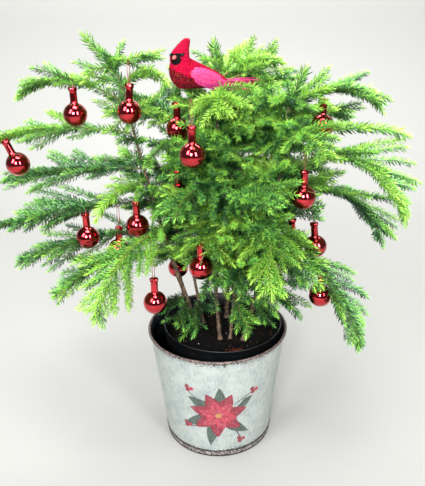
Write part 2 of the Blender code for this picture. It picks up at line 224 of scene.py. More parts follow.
# %% [markdown]
# ## The plan of the plant
# The stems and boughs are the frame's own, so their driving sizes are repeated here, in
# millimetres and degrees. A bough leaves its stem at a height, towards an azimuth (0 is
# +X, 270 the front), rising at first and dipping at its tip. `age` picks its greens: old
# boughs are blue-green, this year's are lime.
# %% Plan
Stem = namedtuple("Stem", "foot top bow nod foot_radius tip_radius")
STEMS = {
    "stem_left": Stem((-26, 12), (-108, 20, 484), (-8, 5), (-28, 0), 3.2, 0.8),
    "stem_left_thin": Stem((-17, 15), (-45, 35, 440), (-8, 5), (5, -5), 2.0, 0.7),
    "stem_centre": Stem((3, -22), (12, 5, 476), (-10, 0), (-12, 0), 2.2, 0.7),
    "stem_front": Stem((15, -21), (30, -35, 335), (0, 0), (5, -10), 1.8, 0.7),
    "stem_right": Stem((31, -24), (80, 5, 448), (9, 0), (16, 0), 2.8, 0.8),
    "stem_back": Stem((12, 30), (32, 58, 466), (0, 6), (-5, 8), 2.4, 0.8),
}
Bough = namedtuple("Bough", "name stem height azimuth length rise dip half_width bare age")
BOUGHS = (
    Bough("left_upper", "stem_left", 410, 180, 130, 40, -40, 30, 35, 4),
    Bough("left_long", "stem_left", 380, 185, 170, 12, -22, 40, 35, 4),
    Bough("left_rear", "stem_left", 340, 165, 190, 0, -18, 42, 40, 2),
    Bough("left_middle", "stem_left", 300, 195, 175, 5, -15, 44, 35, 2),
    Bough("left_low", "stem_left", 262, 190, 172, 5, -22, 38, 35, 2),
    Bough("left_lowest", "stem_left", 235, 205, 150, 15, -40, 36, 35, 3),
    Bough("left_front", "stem_left_thin", 275, 235, 185, 10, -65, 42, 50, 5),
    Bough("right_upper", "stem_right", 402, 0, 112, 45, -50, 38, 35, 3),
    Bough("right_bright", "stem_right", 340, 335, 172, 36, -85, 42, 40, 4),
    Bough("right_rear", "stem_right", 315, 20, 180, 8, -75, 46, 40, 2),
    Bough("right_lowest", "stem_right", 270, 332, 175, -18, -85, 36, 45, 2),
    Bough("right_long", "stem_right", 365, 350, 135, 30, -22, 18, 0, 4),
    Bough("left_arc", "stem_left", 305, 225, 95, 45, -75, 20, 0, 5),
    Bough("right_front", "stem_right", 268, 310, 88, -10, -45, 24, 0, 3),
    Bough("front_top", "stem_centre", 438, 268, 105, 5, -32, 46, 0, 6),
    Bough("front_lime", "stem_right", 285, 262, 115, 5, -70, 34, 0, 5),
    Bough("front_tuft", "stem_centre", 275, 262, 75, 10, -35, 26, 0, 5),
    Bough("front_middle", "stem_front", 330, 280, 80, 20, -20, 32, 0, 3),
    Bough("low_front", "stem_front", 195, 285, 55, -5, -45, 20, 0, 3),
    Bough("low_left", "stem_left", 180, 225, 42, 10, -35, 14, 0, 1),
    Bough("low_right", "stem_right", 205, 325, 62, 0, -50, 15, 0, 1),
    Bough("top_left", "stem_left", 430, 340, 62, 45, -50, 18, 0, 5),
    Bough("top_right", "stem_centre", 440, 25, 80, 30, -18, 26, 0, 4),
    Bough("centre_left", "stem_left_thin", 370, 250, 85, 10, -30, 34, 0, 3),
    Bough("centre_right", "stem_right", 390, 285, 90, 10, -35, 36, 0, 4),
    Bough("middle_left", "stem_centre", 330, 240, 90, 10, -35, 34, 0, 3),
    Bough("back_upper_left", "stem_left_thin", 395, 120, 130, 20, -30, 40, 0, 3),
    Bough("back_upper_right", "stem_back", 410, 60, 125, 25, -25, 40, 0, 3),
    Bough("back_left", "stem_left_thin", 325, 140, 155, 15, -35, 42, 0, 2),
    Bough("back_middle", "stem_back", 360, 98, 155, 15, -35, 44, 0, 4),
    Bough("back_right", "stem_back", 305, 50, 155, 5, -40, 42, 0, 2),
    Bough("back_low_left", "stem_left_thin", 250, 125, 130, 0, -45, 38, 0, 2),
    Bough("back_low_right", "stem_back", 245, 82, 135, -5, -50, 40, 0, 3),
    Bough("right_side", "stem_right", 385, 45, 125, 20, -30, 36, 0, 3),
)
Crown = namedtuple("Crown", "stem low high radius")
CROWNS = {
    "crown_left": Crown("stem_left", 290, 492, 22),
    "crown_left_thin": Crown("stem_left_thin", 285, 446, 30),
    "crown_centre": Crown("stem_centre", 225, 482, 40),
    "crown_front": Crown("stem_front", 215, 345, 34),
    "crown_right": Crown("stem_right", 235, 456, 40),
    "crown_back": Crown("stem_back", 215, 474, 46),
}
POT_HEIGHT = 148 * MM
POT_TOP_RADIUS = 83 * MM
POT_FOOT_RADIUS = 66 * MM
LINER_CENTRE = (6.5 * MM, 4 * MM)
LINER_TOP = 151 * MM
LINER_TOP_RADIUS = 72 * MM
LINER_FOOT_RADIUS = 55 * MM
SOIL_TOP = 138 * MM
SOIL_CROWN = 2 * MM
GAP = 0.3 * MM
NOD_FROM = 0.85
NOD_BEND = 1.4
BEND = 1.3
WALK_STEPS = 24


def soil_height(x, y):
    spread = Vector((x - LINER_CENTRE[0], y - LINER_CENTRE[1])).length / (0.55 * LINER_TOP_RADIUS)
    return SOIL_TOP + SOIL_CROWN * (1 - 0.3 * min(spread, 1)) + GAP


def stem_point(name, height):
    """Centre of a stem at a height in millimetres."""
    stem = STEMS[name]
    foot = soil_height(stem.foot[0] * MM, stem.foot[1] * MM) / MM
    t = (height - foot) / (stem.top[2] - foot)
    swell = 4 * t * (1 - t)
    over = max(0, (t - NOD_FROM) / (1 - NOD_FROM)) ** NOD_BEND
    x, y = (
        stem.foot[i] + (stem.top[i] - stem.foot[i]) * t + stem.bow[i] * swell + stem.nod[i] * over
        for i in (0, 1)
    )
    return np.array((x, y, height)) * MM


def stem_line(name, heights):
    """Centres of a stem at several heights."""
    return np.array([stem_point(name, h) for h in heights])


def stem_radius(name, height):
    stem = STEMS[name]
    t = (height - SOIL_TOP / MM) / (stem.top[2] - SOIL_TOP / MM)
    return (stem.foot_radius + (stem.tip_radius - stem.foot_radius) * t) * MM


def level(azimuth):
    """The level direction of an azimuth in degrees."""
    turn = radians(azimuth)
    return np.array((cos(turn), sin(turn), 0.0))


def bough_path(bough):
    """Points along a bough, walked out from its stem's centre."""
    points = [stem_point(bough.stem, bough.height)]
    turn = radians(bough.azimuth)
    for i in range(WALK_STEPS):
        share = (i + 0.5) / WALK_STEPS
        tilt = radians(bough.rise + (bough.dip - bough.rise) * share ** BEND)
        heading = np.array((cos(tilt) * cos(turn), cos(tilt) * sin(turn), sin(tilt)))
        points.append(points[-1] + heading * bough.length * MM / WALK_STEPS)
    return np.array(points)


print("plan:", len(STEMS), "stems,", len(BOUGHS), "boughs")

# %% [markdown]
# ## Camera, light and floor
# The photograph looks down a little from in front. Its light is soft and comes from all
# round a bright room: big pale lamps do that, and they also draw the window-like streaks
# on the glass balls. The floor and wall are one plain pale sweep.
# %% Studio
CAMERA_PLACE = (-4.5 * MM, -605 * MM, 500 * MM)
CAMERA_PITCH = radians(22)
CAMERA_ROLL = radians(0.9)
FOCAL_PIXELS = 560
IMAGE_HEIGHT = 486
SENSOR = 36.0


def make_camera():
    lens = bpy.data.cameras.new("camera")
    lens.sensor_width = SENSOR
    lens.lens = FOCAL_PIXELS / IMAGE_HEIGHT * SENSOR
    lens.clip_start = 0.01
    made = bpy.data.objects.new("camera", lens)
    made.matrix_world = (
        Matrix.Translation(CAMERA_PLACE)
        @ Matrix.Rotation(pi / 2 - CAMERA_PITCH, 4, "X")
        @ Matrix.Rotation(-CAMERA_ROLL, 4, "Z")
    )
    bpy.context.scene.collection.objects.link(made)
    bpy.context.scene.camera = made


def make_lamp(name, place, aim, wide, high, watts, tint=(1, 1, 1)):
    lamp = bpy.data.lights.new(name, "AREA")
    lamp.shape = "RECTANGLE"
    lamp.size = wide
    lamp.size_y = high
    lamp.energy = watts
    lamp.color = tint
    made = bpy.data.objects.new(name, lamp)
    made.location = place
    made.rotation_euler = (Vector(aim) - Vector(place)).to_track_quat("-Z", "Y").to_euler()
    bpy.context.scene.collection.objects.link(made)


def make_sweep():
    """A floor that runs up into a wall behind the plant."""
    deep, radius, high, wide = 0.75, 0.5, 2.6, 3.0
    line = [(-3.0, 0.0), (deep, 0.0)]
    line += [(deep + radius * sin(a), radius - radius * cos(a)) for a in np.linspace(0.1, pi / 2, 12)]
    line.append((deep + radius, high))
    points = [(x, y, z) for y, z in line for x in (-wide, wide)]
    corners = [(2 * i, 2 * i + 1, 2 * i + 3, 2 * i + 2) for i in range(len(line) - 1)]
    mesh = bpy.data.meshes.new("sweep")
    mesh.from_pydata(points, [], corners)
    mesh.shade_smooth()
    card = Finish("pale_card", paint(155, 155, 152), 0.9)
    mesh.materials.append(card.material)
    made = bpy.data.objects.new("sweep", mesh)
    bpy.context.scene.collection.objects.link(made)


def make_room():
    world = bpy.data.worlds.new("room")
    world.use_nodes = True
    background = world.node_tree.nodes["Background"]
    background.inputs["Color"].default_value = (0.80, 0.88, 1.0, 1.0)
    background.inputs["Strength"].default_value = 0.16
    bpy.context.scene.world = world


make_camera()
make_lamp("window_left", (-1.0, -1.1, 1.35), (0, 0, 0.3), 0.6, 1.0, 23, (0.97, 0.99, 1.0))
make_lamp("window_front", (-0.25, -1.5, 0.95), (0, 0, 0.3), 0.4, 0.55, 36)
make_lamp("window_right", (0.9, -1.4, 1.0), (0, 0, 0.3), 0.35, 0.9, 25)
make_lamp("ceiling", (0.0, -0.3, 1.8), (0, 0.05, 0.2), 0.8, 0.6, 21, (1.0, 0.99, 0.96))
make_lamp("wall_wash", (0.0, 0.75, 1.6), (0, 1.25, 0.7), 2.4, 0.3, 48)
make_sweep()
make_room()
bpy.context.scene.view_settings.view_transform = "Standard"
print("studio: camera, 5 lamps, sweep")

# %% [markdown]
# ## Bark
# Stems this young are no thicker than a pencil: grey-brown, ringed with old needle scars
# and flaking a little. The ring scars and a collar under each whorl are modelled as
# relief, and the paint only adds the lichen-grey flecks.
# %% Bark finish
def bark_finish(name, dark, pale):
    bark = Finish(name, dark, 0.85)
    bark.flecked(bark.grain(1.6 * MM, 6.0, 0.7), 0.52, 0.10, dark, pale)
    bark.relief(bark.grain(0.7 * MM, 5.0, 0.7), 0.25 * MM)
    return bark


BARK = bark_finish("bark", paint(60, 45, 33), paint(116, 94, 72))
YOUNG_BARK = bark_finish("young_bark", paint(84, 90, 42), paint(122, 118, 62))
TWIG = bark_finish("twig", paint(92, 106, 38), paint(118, 130, 52))
print("bark:", [finish.material.name for finish in (BARK, YOUNG_BARK, TWIG)])

# %% [markdown]
# ## Limbs
# A limb is a row of rings along a line. `tube` carries the first ring's direction on from
# point to point, so that the skin never twists, and takes a radius for every point of a
# ring, so that relief is only a matter of uneven radii.
# %% Limbs
def frames(points):
    """Headings along a line, and level directions across it."""
    headings = unit(np.gradient(points, axis=0))
    across = np.cross(headings, UP)
    steep = np.linalg.norm(across, axis=1) < 0.35
    across[steep] = np.cross(np.cross(headings[steep], RIGHT), headings[steep])
    across = unit(across)
    return headings, across


def resample(points, count):
    """The same line with a number of evenly spaced points."""
    run = np.concatenate([[0], np.cumsum(np.linalg.norm(np.diff(points, axis=0), axis=1))])
    at = np.linspace(0, run[-1], count)
    return np.stack([np.interp(at, run, points[:, i]) for i in range(3)], axis=1), at


def skin(rings):
    """Close a row of rings of points into one body."""
    count, sides = rings.shape[:2]
    points = np.concatenate([rings.reshape(-1, 3), rings[:1].mean(1), rings[-1:].mean(1)])
    i, j = np.meshgrid(np.arange(count - 1), np.arange(sides), indexing="ij")
    a, b = i * sides + j, i * sides + (j + 1) % sides
    c, d = b + sides, a + sides
    halves = (np.stack([a, b, c], -1), np.stack([a, c, d], -1))
    wall = np.concatenate([half.reshape(-1, 3) for half in halves])
    k = np.arange(sides)
    after = (k + 1) % sides
    base = (count - 1) * sides
    foot = np.stack([after, k, np.full(sides, count * sides)], -1)
    tip = np.stack([base + k, base + after, np.full(sides, count * sides + 1)], -1)
    return points, np.concatenate([wall, foot, tip])


def tube(points, radii, sides):
    """A round limb. radii is one number per point, or one per point and side."""
    headings = unit(np.gradient(points, axis=0))
    across = np.empty_like(points)
    start = np.cross(headings[0], UP)
    if np.linalg.norm(start) < 0.35:
        start = np.cross(headings[0], RIGHT)
    across[0] = unit(start)
    for i in range(1, len(points)):
        carried = across[i - 1] - headings[i] * across[i - 1].dot(headings[i])
        across[i] = unit(carried)
    other = np.cross(headings, across)
    angles = np.linspace(0, 2 * pi, sides, endpoint=False)
    radii = np.asarray(radii, float)
    if radii.ndim == 1:
        radii = np.repeat(radii[:, None], sides, axis=1)
    ring = (
        points[:, None]
        + across[:, None] * (np.cos(angles) * radii)[..., None]
        + other[:, None] * (np.sin(angles) * radii)[..., None]
    )
    return skin(ring)


def bark_relief(points, radii, sides, scar, seed):
    """Radii with flaking and ring scars, one for each point and side."""
    run = np.concatenate([[0], np.cumsum(np.linalg.norm(np.diff(points, axis=0), axis=1))])
    rough = np.empty((len(points), sides))
    for i, (s, radius) in enumerate(zip(run, radii)):
        for k in range(sides):
            turn = 2 * pi * k / sides
            spot = Vector((cos(turn) * 1.6, sin(turn) * 1.6, s / (5 * MM) + seed * 9.1))
            flake = noise.noise(spot) + 0.5 * noise.noise(spot * 3.1)
            ring = sin(2 * pi * s / (2.6 * MM) + 2.5 * noise.noise(spot * 0.5) + turn)
            rough[i, k] = radius * (1 + 0.09 * flake) + scar * ring
    return rough


# %% [markdown]
# ## Stems
# The six stems swell a little under each ring of boughs and flare at the soil. They take
# the place of the frame's stems, so their feet stay level and their tips stay where they
# were.
# %% Stems
WHORL_SPACING = 48
COLLAR = 0.22
FLARE = 0.55
FLARE_HEIGHT = 3.5
STEM_STEP = 1.3
STEM_SIDES = 16


def collar(height):
    """How much a stem swells under each ring of boughs."""
    return 1 + COLLAR * max(0, sin(2 * pi * height / WHORL_SPACING)) ** 6


for number, (name, stem) in enumerate(STEMS.items()):
    foot = soil_height(stem.foot[0] * MM, stem.foot[1] * MM) / MM
    heights = np.linspace(foot, stem.top[2], int((stem.top[2] - foot) / STEM_STEP))
    centres = stem_line(name, heights)
    flare = 1 + FLARE * np.exp(-(heights - foot) / FLARE_HEIGHT)
    thick = np.array([stem_radius(name, h) * collar(h) for h in heights]) * flare
    radii = bark_relief(centres, thick, STEM_SIDES, 0.035 * stem.foot_radius * MM, number)
    points, corners = tube(centres, radii, STEM_SIDES)
    points[:STEM_SIDES, 2] = centres[0][2]
    build(name + "_bark", points, corners, [BARK], "bark", [name])

# %% [markdown]
# ## How a bough grows
# A bough of this tree is a flat feather. Branchlets leave it in pairs, point forward,
# and hang a little; the longest are a third of the way out. Each is a rope of needles
# set in a spiral, closing to a soft point like a wet paint brush. `Growth` collects the
# ropes and the twigs they sit on, for one region of the crown at a time.
#
# The colour of a needle is one of seven plain greens. Which one it takes depends on the
# age of its bough, on how near the tip it sits, on chance, and on painted light: a needle
# that faces up is painted lighter and one that faces down darker, and the foot and one
# side of every needle are painted darker as shade.
# %% Greens
def needle_finish(name, colour):
    return Finish(name, colour, 0.33, Specular_IOR_Level=0.75)


GREENS = (
    needle_finish("needles_shade", paint(30, 70, 38)),
    needle_finish("needles_deep", paint(54, 116, 58)),
    needle_finish("needles_mid", paint(100, 172, 84)),
    needle_finish("needles_grass", paint(134, 206, 88)),
    needle_finish("needles_fresh", paint(154, 220, 84)),
    needle_finish("needles_lime", paint(170, 224, 80)),
    needle_finish("needles_glow", paint(190, 232, 98)),
)
SHADE_AT_FOOT = -1.4
SHADE_TO_TIP = 2.2
# painted light: a needle that faces up takes a lighter green, one that faces down a darker one
PAINTED_TOP_LIGHT = 0.8
SHADE_MOTTLE = 0.7
SHADE_OF_TIP = 0.8
TIP = 5 * MM
print("greens:", len(GREENS))

# %% [markdown]
# ## Needles, ropes and feathers
# Needles sit on a spiral of 137.5 degrees, as on most conifers. `needles` lays one line
# of them as arrays, `rope` keeps the line as a place to hang things from, and `feather`
# and `brush` are the two habits of a bough: broad and flat, or one thick young shoot.
# %% Growth
GOLDEN_TURN = radians(137.5)
NEEDLE_HALF_WIDTH = 0.58 * MM
NEEDLE = 7.3 * MM
FLATNESS = 0.8
BRANCHLET_STEPS = 6
NEEDLE_FACES = np.array(((0, 1, 2), (0, 2, 3), (2, 1, 3)))
# painted shade: a needle's foot face is three greens darker, and one of its sides one green darker
PAINTED_FACE_SHADE = np.array((-3, -1, 0))


class Growth:
    """Twigs and needles of one region of the crown."""

    def __init__(self):
        self.limbs = []
        self.rows = []
        self.shoots = []
        self.hooks = []

    def needles(self, points, age, chance, needle=NEEDLE, pitch=0.56 * MM, lean=63, start=0.0):
        """Needles in a spiral along a line, closing at its tip."""
        headings, across = frames(points)
        run = np.concatenate([[0], np.cumsum(np.linalg.norm(np.diff(points, axis=0), axis=1))])
        at = np.arange(start + 0.5 * MM, run[-1], pitch)
        count = len(at)
        at = at + chance.uniform(-0.4, 0.4, count) * pitch

        def between(values):
            return np.stack([np.interp(at, run, values[:, i]) for i in range(3)], axis=1)

        base, forward = between(points), unit(between(headings))
        side = unit(between(across))
        side = unit(side - forward * (side * forward).sum(1)[:, None])
        rise = np.cross(forward, side)
        turn = np.arange(count) * GOLDEN_TURN + chance.uniform(0, 6.28) + chance.normal(0, 0.25, count)
        out = unit(side * np.cos(turn)[:, None] + rise * (FLATNESS * np.sin(turn))[:, None])
        left = run[-1] - at
        closing = np.clip(left / (7 * MM), 0, 1)
        tilt = np.radians(10 + (lean - 10) * closing + chance.normal(0, 6, count))
        way = forward * np.cos(tilt)[:, None] + out * np.sin(tilt)[:, None]
        length = needle * (0.7 + 0.3 * closing) * chance.uniform(0.82, 1.15, count)
        # painted light and shade: lighter for needles facing up, darker for needles facing down
        shade = age + SHADE_AT_FOOT + SHADE_TO_TIP * (at / run[-1]) + PAINTED_TOP_LIGHT * out[:, 2]
        shade = shade + chance.normal(0, SHADE_MOTTLE, count) + (left < TIP) * SHADE_OF_TIP
        mark = np.clip(np.round(shade), 0, len(GREENS) - 1).astype(int)
        return base, forward, way, out, length, mark

    def rope(self, points, *how, **more):
        self.rows.append(self.needles(points, *how, **more))
        self.hooks.append(points)

    def branchlet(self, start, heading, side, reach, age, chance, forward, hang=0.02, loose=0.2):
        """One side shoot of a bough, curving forward and down."""
        turn = radians(forward + chance.normal(0, 7))
        age = age + chance.normal(0, 0.9)
        way = unit(heading * cos(turn) + side * sin(turn) + UP * chance.normal(0.05, loose))
        points = [start]
        for _ in range(BRANCHLET_STEPS):
            points.append(points[-1] + way * reach / BRANCHLET_STEPS)
            way = unit(way + heading * 0.10 - UP * hang)
        points = np.array(points)
        wood = tube(points, np.linspace(0.55, 0.3, len(points)) * MM, 3)
        self.shoots.append((points, wood, self.needles(points, age, chance, start=1.0 * MM)))
        self.hooks.append(points)

    def feather(self, points, side, half_width, bare, age, chance, spacing, hang=0.02, loose=0.2):
        """A bough's branchlets on both sides, and the needles along its own axis."""
        points, at = resample(points, 40)
        headings = unit(np.gradient(points, axis=0))
        length = at[-1]
        for hand in (1, -1):
            place = bare + chance.uniform(0.1, 0.9) * spacing
            while place < length - 5 * MM:
                share = (place - bare) / (length - bare)
                # widest about a third of the way out, and narrow at the tip
                breadth = (0.45 + 0.55 * sin(pi * min(1, share + 0.12) ** 0.7)) * (1 - 0.45 * share**2)
                reach = half_width * breadth * chance.uniform(0.75, 1.25) * 1.3
                k = place / length * (len(points) - 1)
                low = min(int(k), len(points) - 2)
                spot = points[low] + (points[low + 1] - points[low]) * (k - low)
                reach = min(reach, (length - place) * 1.25 + 8 * MM)
                self.branchlet(spot, headings[low], side * hand, reach, age, chance, 50, hang, loose)
                place += spacing * chance.uniform(0.8, 1.2)
        self.rope(points, age, chance, NEEDLE * 1.2, 0.42 * MM, start=0.15 * bare)

    def brush(self, points, side, half_width, age, chance):
        """A young shoot: one thick rope with a few short side shoots near its foot."""
        points, at = resample(points, 40)
        self.rope(points, age, chance, 9.5 * MM, 0.38 * MM, 60)
        for share in (0.25, 0.42, 0.6):
            low = int(share * (len(points) - 1))
            heading = unit(points[low + 1] - points[low])
            for hand in (1, -1):
                reach = half_width * chance.uniform(1.0, 1.7) * (1.2 - share)
                self.branchlet(points[low], heading, side * hand, reach, age, chance, 48)


# %% [markdown]
# ## Growing the boughs
# The frame's boughs come first, each with its own seed, so that one can be changed
# without disturbing the rest. Their axes are real bark tubes that taper on through the
# needles to the tip.
# %% Boughs
REGIONS = ("left", "right", "front", "back")
BRUSH_BELOW = 20
growths = {region: Growth() for region in REGIONS}


def region_of(name):
    first = name.split("_")[0]
    return first if first in REGIONS else "front"


def wander(points, side, amount, chance):
    """A slight sideways waver, as no real bough is ruled with a compass."""
    share = np.linspace(0, 1, len(points))
    phase, swings = chance.uniform(0, 6.28), chance.uniform(1.0, 1.8)
    sway = amount * share * (np.sin(share * swings * 2 * pi + phase) - sin(phase))
    return points + side * sway[:, None]


for number, bough in enumerate(BOUGHS):
    chance = np.random.default_rng(100 + number)
    out = level(bough.azimuth)
    side = np.array((-out[1], out[0], 0.0))
    line = wander(bough_path(bough), side, 2.5 * MM, chance)
    growth = growths[region_of(bough.name)]
    axis, at = resample(line, 48)
    beside = stem_radius(bough.stem, bough.height)
    keep = at > beside * 0.5
    thick = np.linspace(1.2, 0.35, len(axis)) * MM
    relief = bark_relief(axis[keep], thick[keep], 8, 0.05 * MM, number)
    growth.limbs.append(tube(axis[keep], relief, 8))
    bare = max(bough.bare * MM, 6 * MM)
    if bough.half_width <= BRUSH_BELOW:
        growth.brush(line, side, bough.half_width * MM, bough.age, chance)
    else:
        half_width = 1.15 * bough.half_width * MM
        growth.feather(line, side, half_width, bare, bough.age, chance, 10 * MM)

print("boughs:", {region: len(growth.shoots) for region, growth in growths.items()}, "shoots")

# %% [markdown]
# ## Gaps
# The wall shows through the crown in a few places, and the stems show in a few more. Each
# gap is a short tunnel that points at the camera of the photograph. Shoots that enter one
# are left out whole, because a needle cut short would give the gap a hard edge.
# %% Gaps
Gap = namedtuple("Gap", "x y z radius")
GAPS = (
    Gap(-66, 0, 362, 9),
    Gap(-71, 0, 429, 10),
    Gap(-82, 14, 345, 6),
    Gap(-86, 14, 368, 6),
    Gap(98, 0, 277, 7),
    Gap(31, 0, 357, 4),
    Gap(60, 0, 353, 4),
    Gap(-22, 0, 268, 4),
    Gap(4, 0, 246, 3),
    Gap(21, 0, 212, 4),
    Gap(32, 0, 265, 4),
    Gap(-43, 8, 190, 7),
    Gap(-47, 8, 206, 8),
    Gap(-51, 8, 222, 8),
    Gap(-26, 14, 190, 7),
    Gap(-30, 16, 212, 8),
)
GAP_DEPTH = 130 * MM


def seen_through(points):
    """Which points lie in one of the gaps."""
    seen = np.zeros(len(points), bool)
    for gap in GAPS:
        place = np.array((gap.x, gap.y, gap.z)) * MM
        away = points - place
        ahead = away @ unit(np.array(CAMERA_PLACE) - place)
        aside = (away**2).sum(1) - ahead**2
        seen |= (aside < (gap.radius * MM) ** 2) & (abs(ahead) < GAP_DEPTH)
    return seen


print("gaps:", len(GAPS))

# %% [markdown]
# ## The inner crown
# Short feathers fill the middle of the plant. Each bends down a little as it runs out,
# rolls a little to one side, and ends early where it would leave the crown or close a
# gap. The stems that stand close together share one region.
# %% Ring feathers
CROWN_REGIONS = {
    "crown_left": "crown_left",
    "crown_left_thin": "crown_left",
    "crown_centre": "crown_centre",
    "crown_front": "crown_centre",
    "crown_right": "crown_right",
    "crown_back": "crown_back",
}
for region in CROWN_REGIONS.values():
    growths.setdefault(region, Growth())
CROWN_BOX = np.array(((-200, -105, 200), (150, 150, 472))) * MM
LOW_BOX = CROWN_BOX - UP * 60 * MM
RING_STEPS = 10


def ring_feather(growth, start, azimuth, length, rise, age, chance, box=CROWN_BOX):
    """A short feather that stays inside a box and ends where a gap begins."""
    out = level(azimuth)
    roll = chance.normal(0, 0.5)
    side = np.array((-out[1] * cos(roll), out[0] * cos(roll), sin(roll)))
    points, tilt = [start], rise
    for _ in range(RING_STEPS):
        heading = out * cos(radians(tilt)) + UP * sin(radians(tilt))
        points.append(points[-1] + heading * length / RING_STEPS)
        tilt -= chance.uniform(0, 6)
    points = np.array(points)
    inside = ((points > box[0]) & (points < box[1])).all(1) & ~seen_through(points)
    if not inside.all():
        points = points[: max(4, int(np.argmin(inside)))]
        length = length * len(points) / (RING_STEPS + 1)
    growth.limbs.append(tube(points, np.linspace(0.7, 0.3, len(points)) * MM, 5))
    growth.feather(points, side, 0.66 * length, 5 * MM, age, chance, 16 * MM, 0.0, 0.35)


print("regions:", list(growths))

# %% [markdown]
# ## Rings up each stem
# Five feathers make a ring, and the rings climb each stem to its leader, a thick upright
# brush. The upper ones are short, new and bright. Those lower down are longer, older and
# darker, and now and then a bright one is mixed in.
# %% Crowns
CROWN_SEED = 500
FEATHERS_IN_RING = 5
RING_SPACING = 24
MIDDLE = np.array((15.0, 12.0, 0.0)) * MM


def ring(growth, crown, height, share, chance):
    """Five feathers round a stem, longer towards the middle of the plant."""
    first = chance.uniform(0, 360)
    for k in range(FEATHERS_IN_RING):
        azimuth = first + 360 * k / FEATHERS_IN_RING + chance.normal(0, 12)
        start = stem_point(crown.stem, height + chance.uniform(-3, 3))
        inward = max(0.0, float(unit((MIDDLE - start) * (1, 1, 0)).dot(level(azimuth))))
        narrowing = 1.55 - 0.55 * share
        length = crown.radius * narrowing * chance.uniform(0.8, 1.25) * (1 + 0.5 * inward) * MM
        age = 2.3 + 1.9 * share + chance.uniform(-1.1, 1.1) + 2.2 * (chance.random() < 0.22)
        ring_feather(growth, start, azimuth, length, chance.uniform(5, 30) + 14 * share, age, chance)


for number, (name, crown) in enumerate(CROWNS.items()):
    chance = np.random.default_rng(CROWN_SEED + number)
    growth = growths[CROWN_REGIONS[name]]
    top = STEMS[crown.stem].top[2]
    leader_length = 72 if name == "crown_left" else 30
    height = crown.low + 5
    while height < top - leader_length + 5:
        ring(growth, crown, height, (height - crown.low) / (top - crown.low), chance)
        height += RING_SPACING * chance.uniform(0.85, 1.15)
    leader = stem_line(crown.stem, np.linspace(top - leader_length, top, 20))
    growth.rope(leader, 3.6, chance, needle=11 * MM, pitch=0.4 * MM, lean=52)
    older = stem_line(crown.stem, np.linspace(crown.low - 20, top - leader_length, 30))
    growth.rope(older, 2.0, chance, needle=9 * MM, pitch=0.9 * MM, lean=62)

# %% [markdown]
# ## A whorl and some tufts
# The tallest leader carries a whorl of its own, and a few old tufts hang into the pot.
# The photograph shows these one by one, so they are given in a list instead of by rule.
# %% Whorl and tufts
Shoot = namedtuple("Shoot", "stem height azimuth length rise")
LEADER_WHORL = (
    Shoot("stem_left", 452, 350, 54, 24),
    Shoot("stem_left", 452, 285, 34, 30),
    Shoot("stem_left", 450, 200, 32, 12),
    Shoot("stem_left", 448, 95, 40, 22),
    Shoot("stem_left", 434, 165, 30, 20),
)
LOW_TUFTS = (
    Shoot("stem_left", 172, 250, 40, -5),
    Shoot("stem_left_thin", 172, 264, 50, -12),
    Shoot("stem_right", 190, 285, 36, -10),
    Shoot("stem_back", 188, 70, 46, 0),
)
WHORL_AGE = 4.3
TUFT_AGE = 2.0
chance = np.random.default_rng(77)


def set_shoots(shoots, growth, age, box):
    for shoot in shoots:
        start = stem_point(shoot.stem, shoot.height)
        ring_feather(growth, start, shoot.azimuth, shoot.length * MM, shoot.rise, age, chance, box)


set_shoots(LEADER_WHORL, growths["crown_left"], WHORL_AGE, CROWN_BOX)
set_shoots(LOW_TUFTS, growths["front"], TUFT_AGE, LOW_BOX)
print("crowns:", {region: len(growth.shoots) for region, growth in growths.items()}, "shoots")

# %% [markdown]
# ## Where the ornaments hang
# A glass ball hangs straight down from the twig that carries it. Each one has a wanted
# place, and the best twig above that place becomes its hook. Whoever hangs a ball parts
# the shoots around it, so shoots that would run through a ball, or close in front of one
# that shows, are pruned. `room` says how far in front of a ball that goes.
# %% Ornament places
Ball = namedtuple("Ball", "x y z lean room")
BALLS = (
    Ball(-151, 14, 404, 0, 30),
    Ball(-216, -6, 354, -22, 30),
    Ball(-89, -12, 407, 4, 30),
    Ball(-43, 18, 386, 0, 32),
    Ball(-28, -58, 373, 0, 40),
    Ball(-42, -5, 316, 0, 0),
    Ball(-149, -18, 278, 0, 24),
    Ball(-88, -16, 284, 0, 24),
    Ball(-115, 5, 248, 5, 0),
    Ball(-69, -69, 214, 0, 40),
    Ball(-49, 42, 205, 0, 10),
    Ball(-13, -66, 248, 0, 44),
    Ball(93, -62, 323, 0, 44),
    Ball(115, 0, 389, 0, 24),
    Ball(113, -14, 256, -6, 10),
    Ball(90, -5, 257, 0, 0),
    Ball(116, -45, 207, 0, 24),
)
BALL_RADIUS = 13 * MM
NECK_TOP = 29 * MM
LOOP_LEAST = 2.5 * MM
LOOP_MOST = 24 * MM
HUNG_BALLS = []
hooks = np.concatenate([line for growth in growths.values() for line in growth.hooks])


def hang(ball):
    """The hook of a ball, the top of its neck, and its centre."""
    lean = radians(ball.lean)
    neck = np.array((sin(lean), 0, cos(lean))) * NECK_TOP
    top = np.array((ball.x, ball.y, ball.z)) * MM + neck
    loop = hooks[:, 2] - top[2]
    misfit = np.clip(LOOP_LEAST - loop, 0, None) + np.clip(loop - LOOP_MOST, 0, None)
    aside = np.linalg.norm((hooks - top)[:, :2] * (1.0, 0.6), axis=1)
    hook = hooks[np.argmin(aside + 1.5 * misfit)]
    drop = np.clip(hook[2] - top[2], LOOP_LEAST, LOOP_MOST)
    top = hook - UP * drop
    return hook, top, top - neck


cleared = []


def clear(spot, radius, room, narrower=0.9):
    """Keep a place clear, and the line from it towards the camera as far as room."""
    cleared.append((spot, radius))
    towards = unit(np.array(CAMERA_PLACE) - spot)
    for ahead in np.arange(8, room + 1, 8) * MM:
        cleared.append((spot + towards * ahead, radius * narrower))


for ball in BALLS:
    hook, top, centre = hang(ball)
    HUNG_BALLS.append((hook, top, centre))
    clear(centre, BALL_RADIUS + 1 * MM, ball.room)
    clear(0.4 * centre + 0.6 * top, 6 * MM, ball.room)

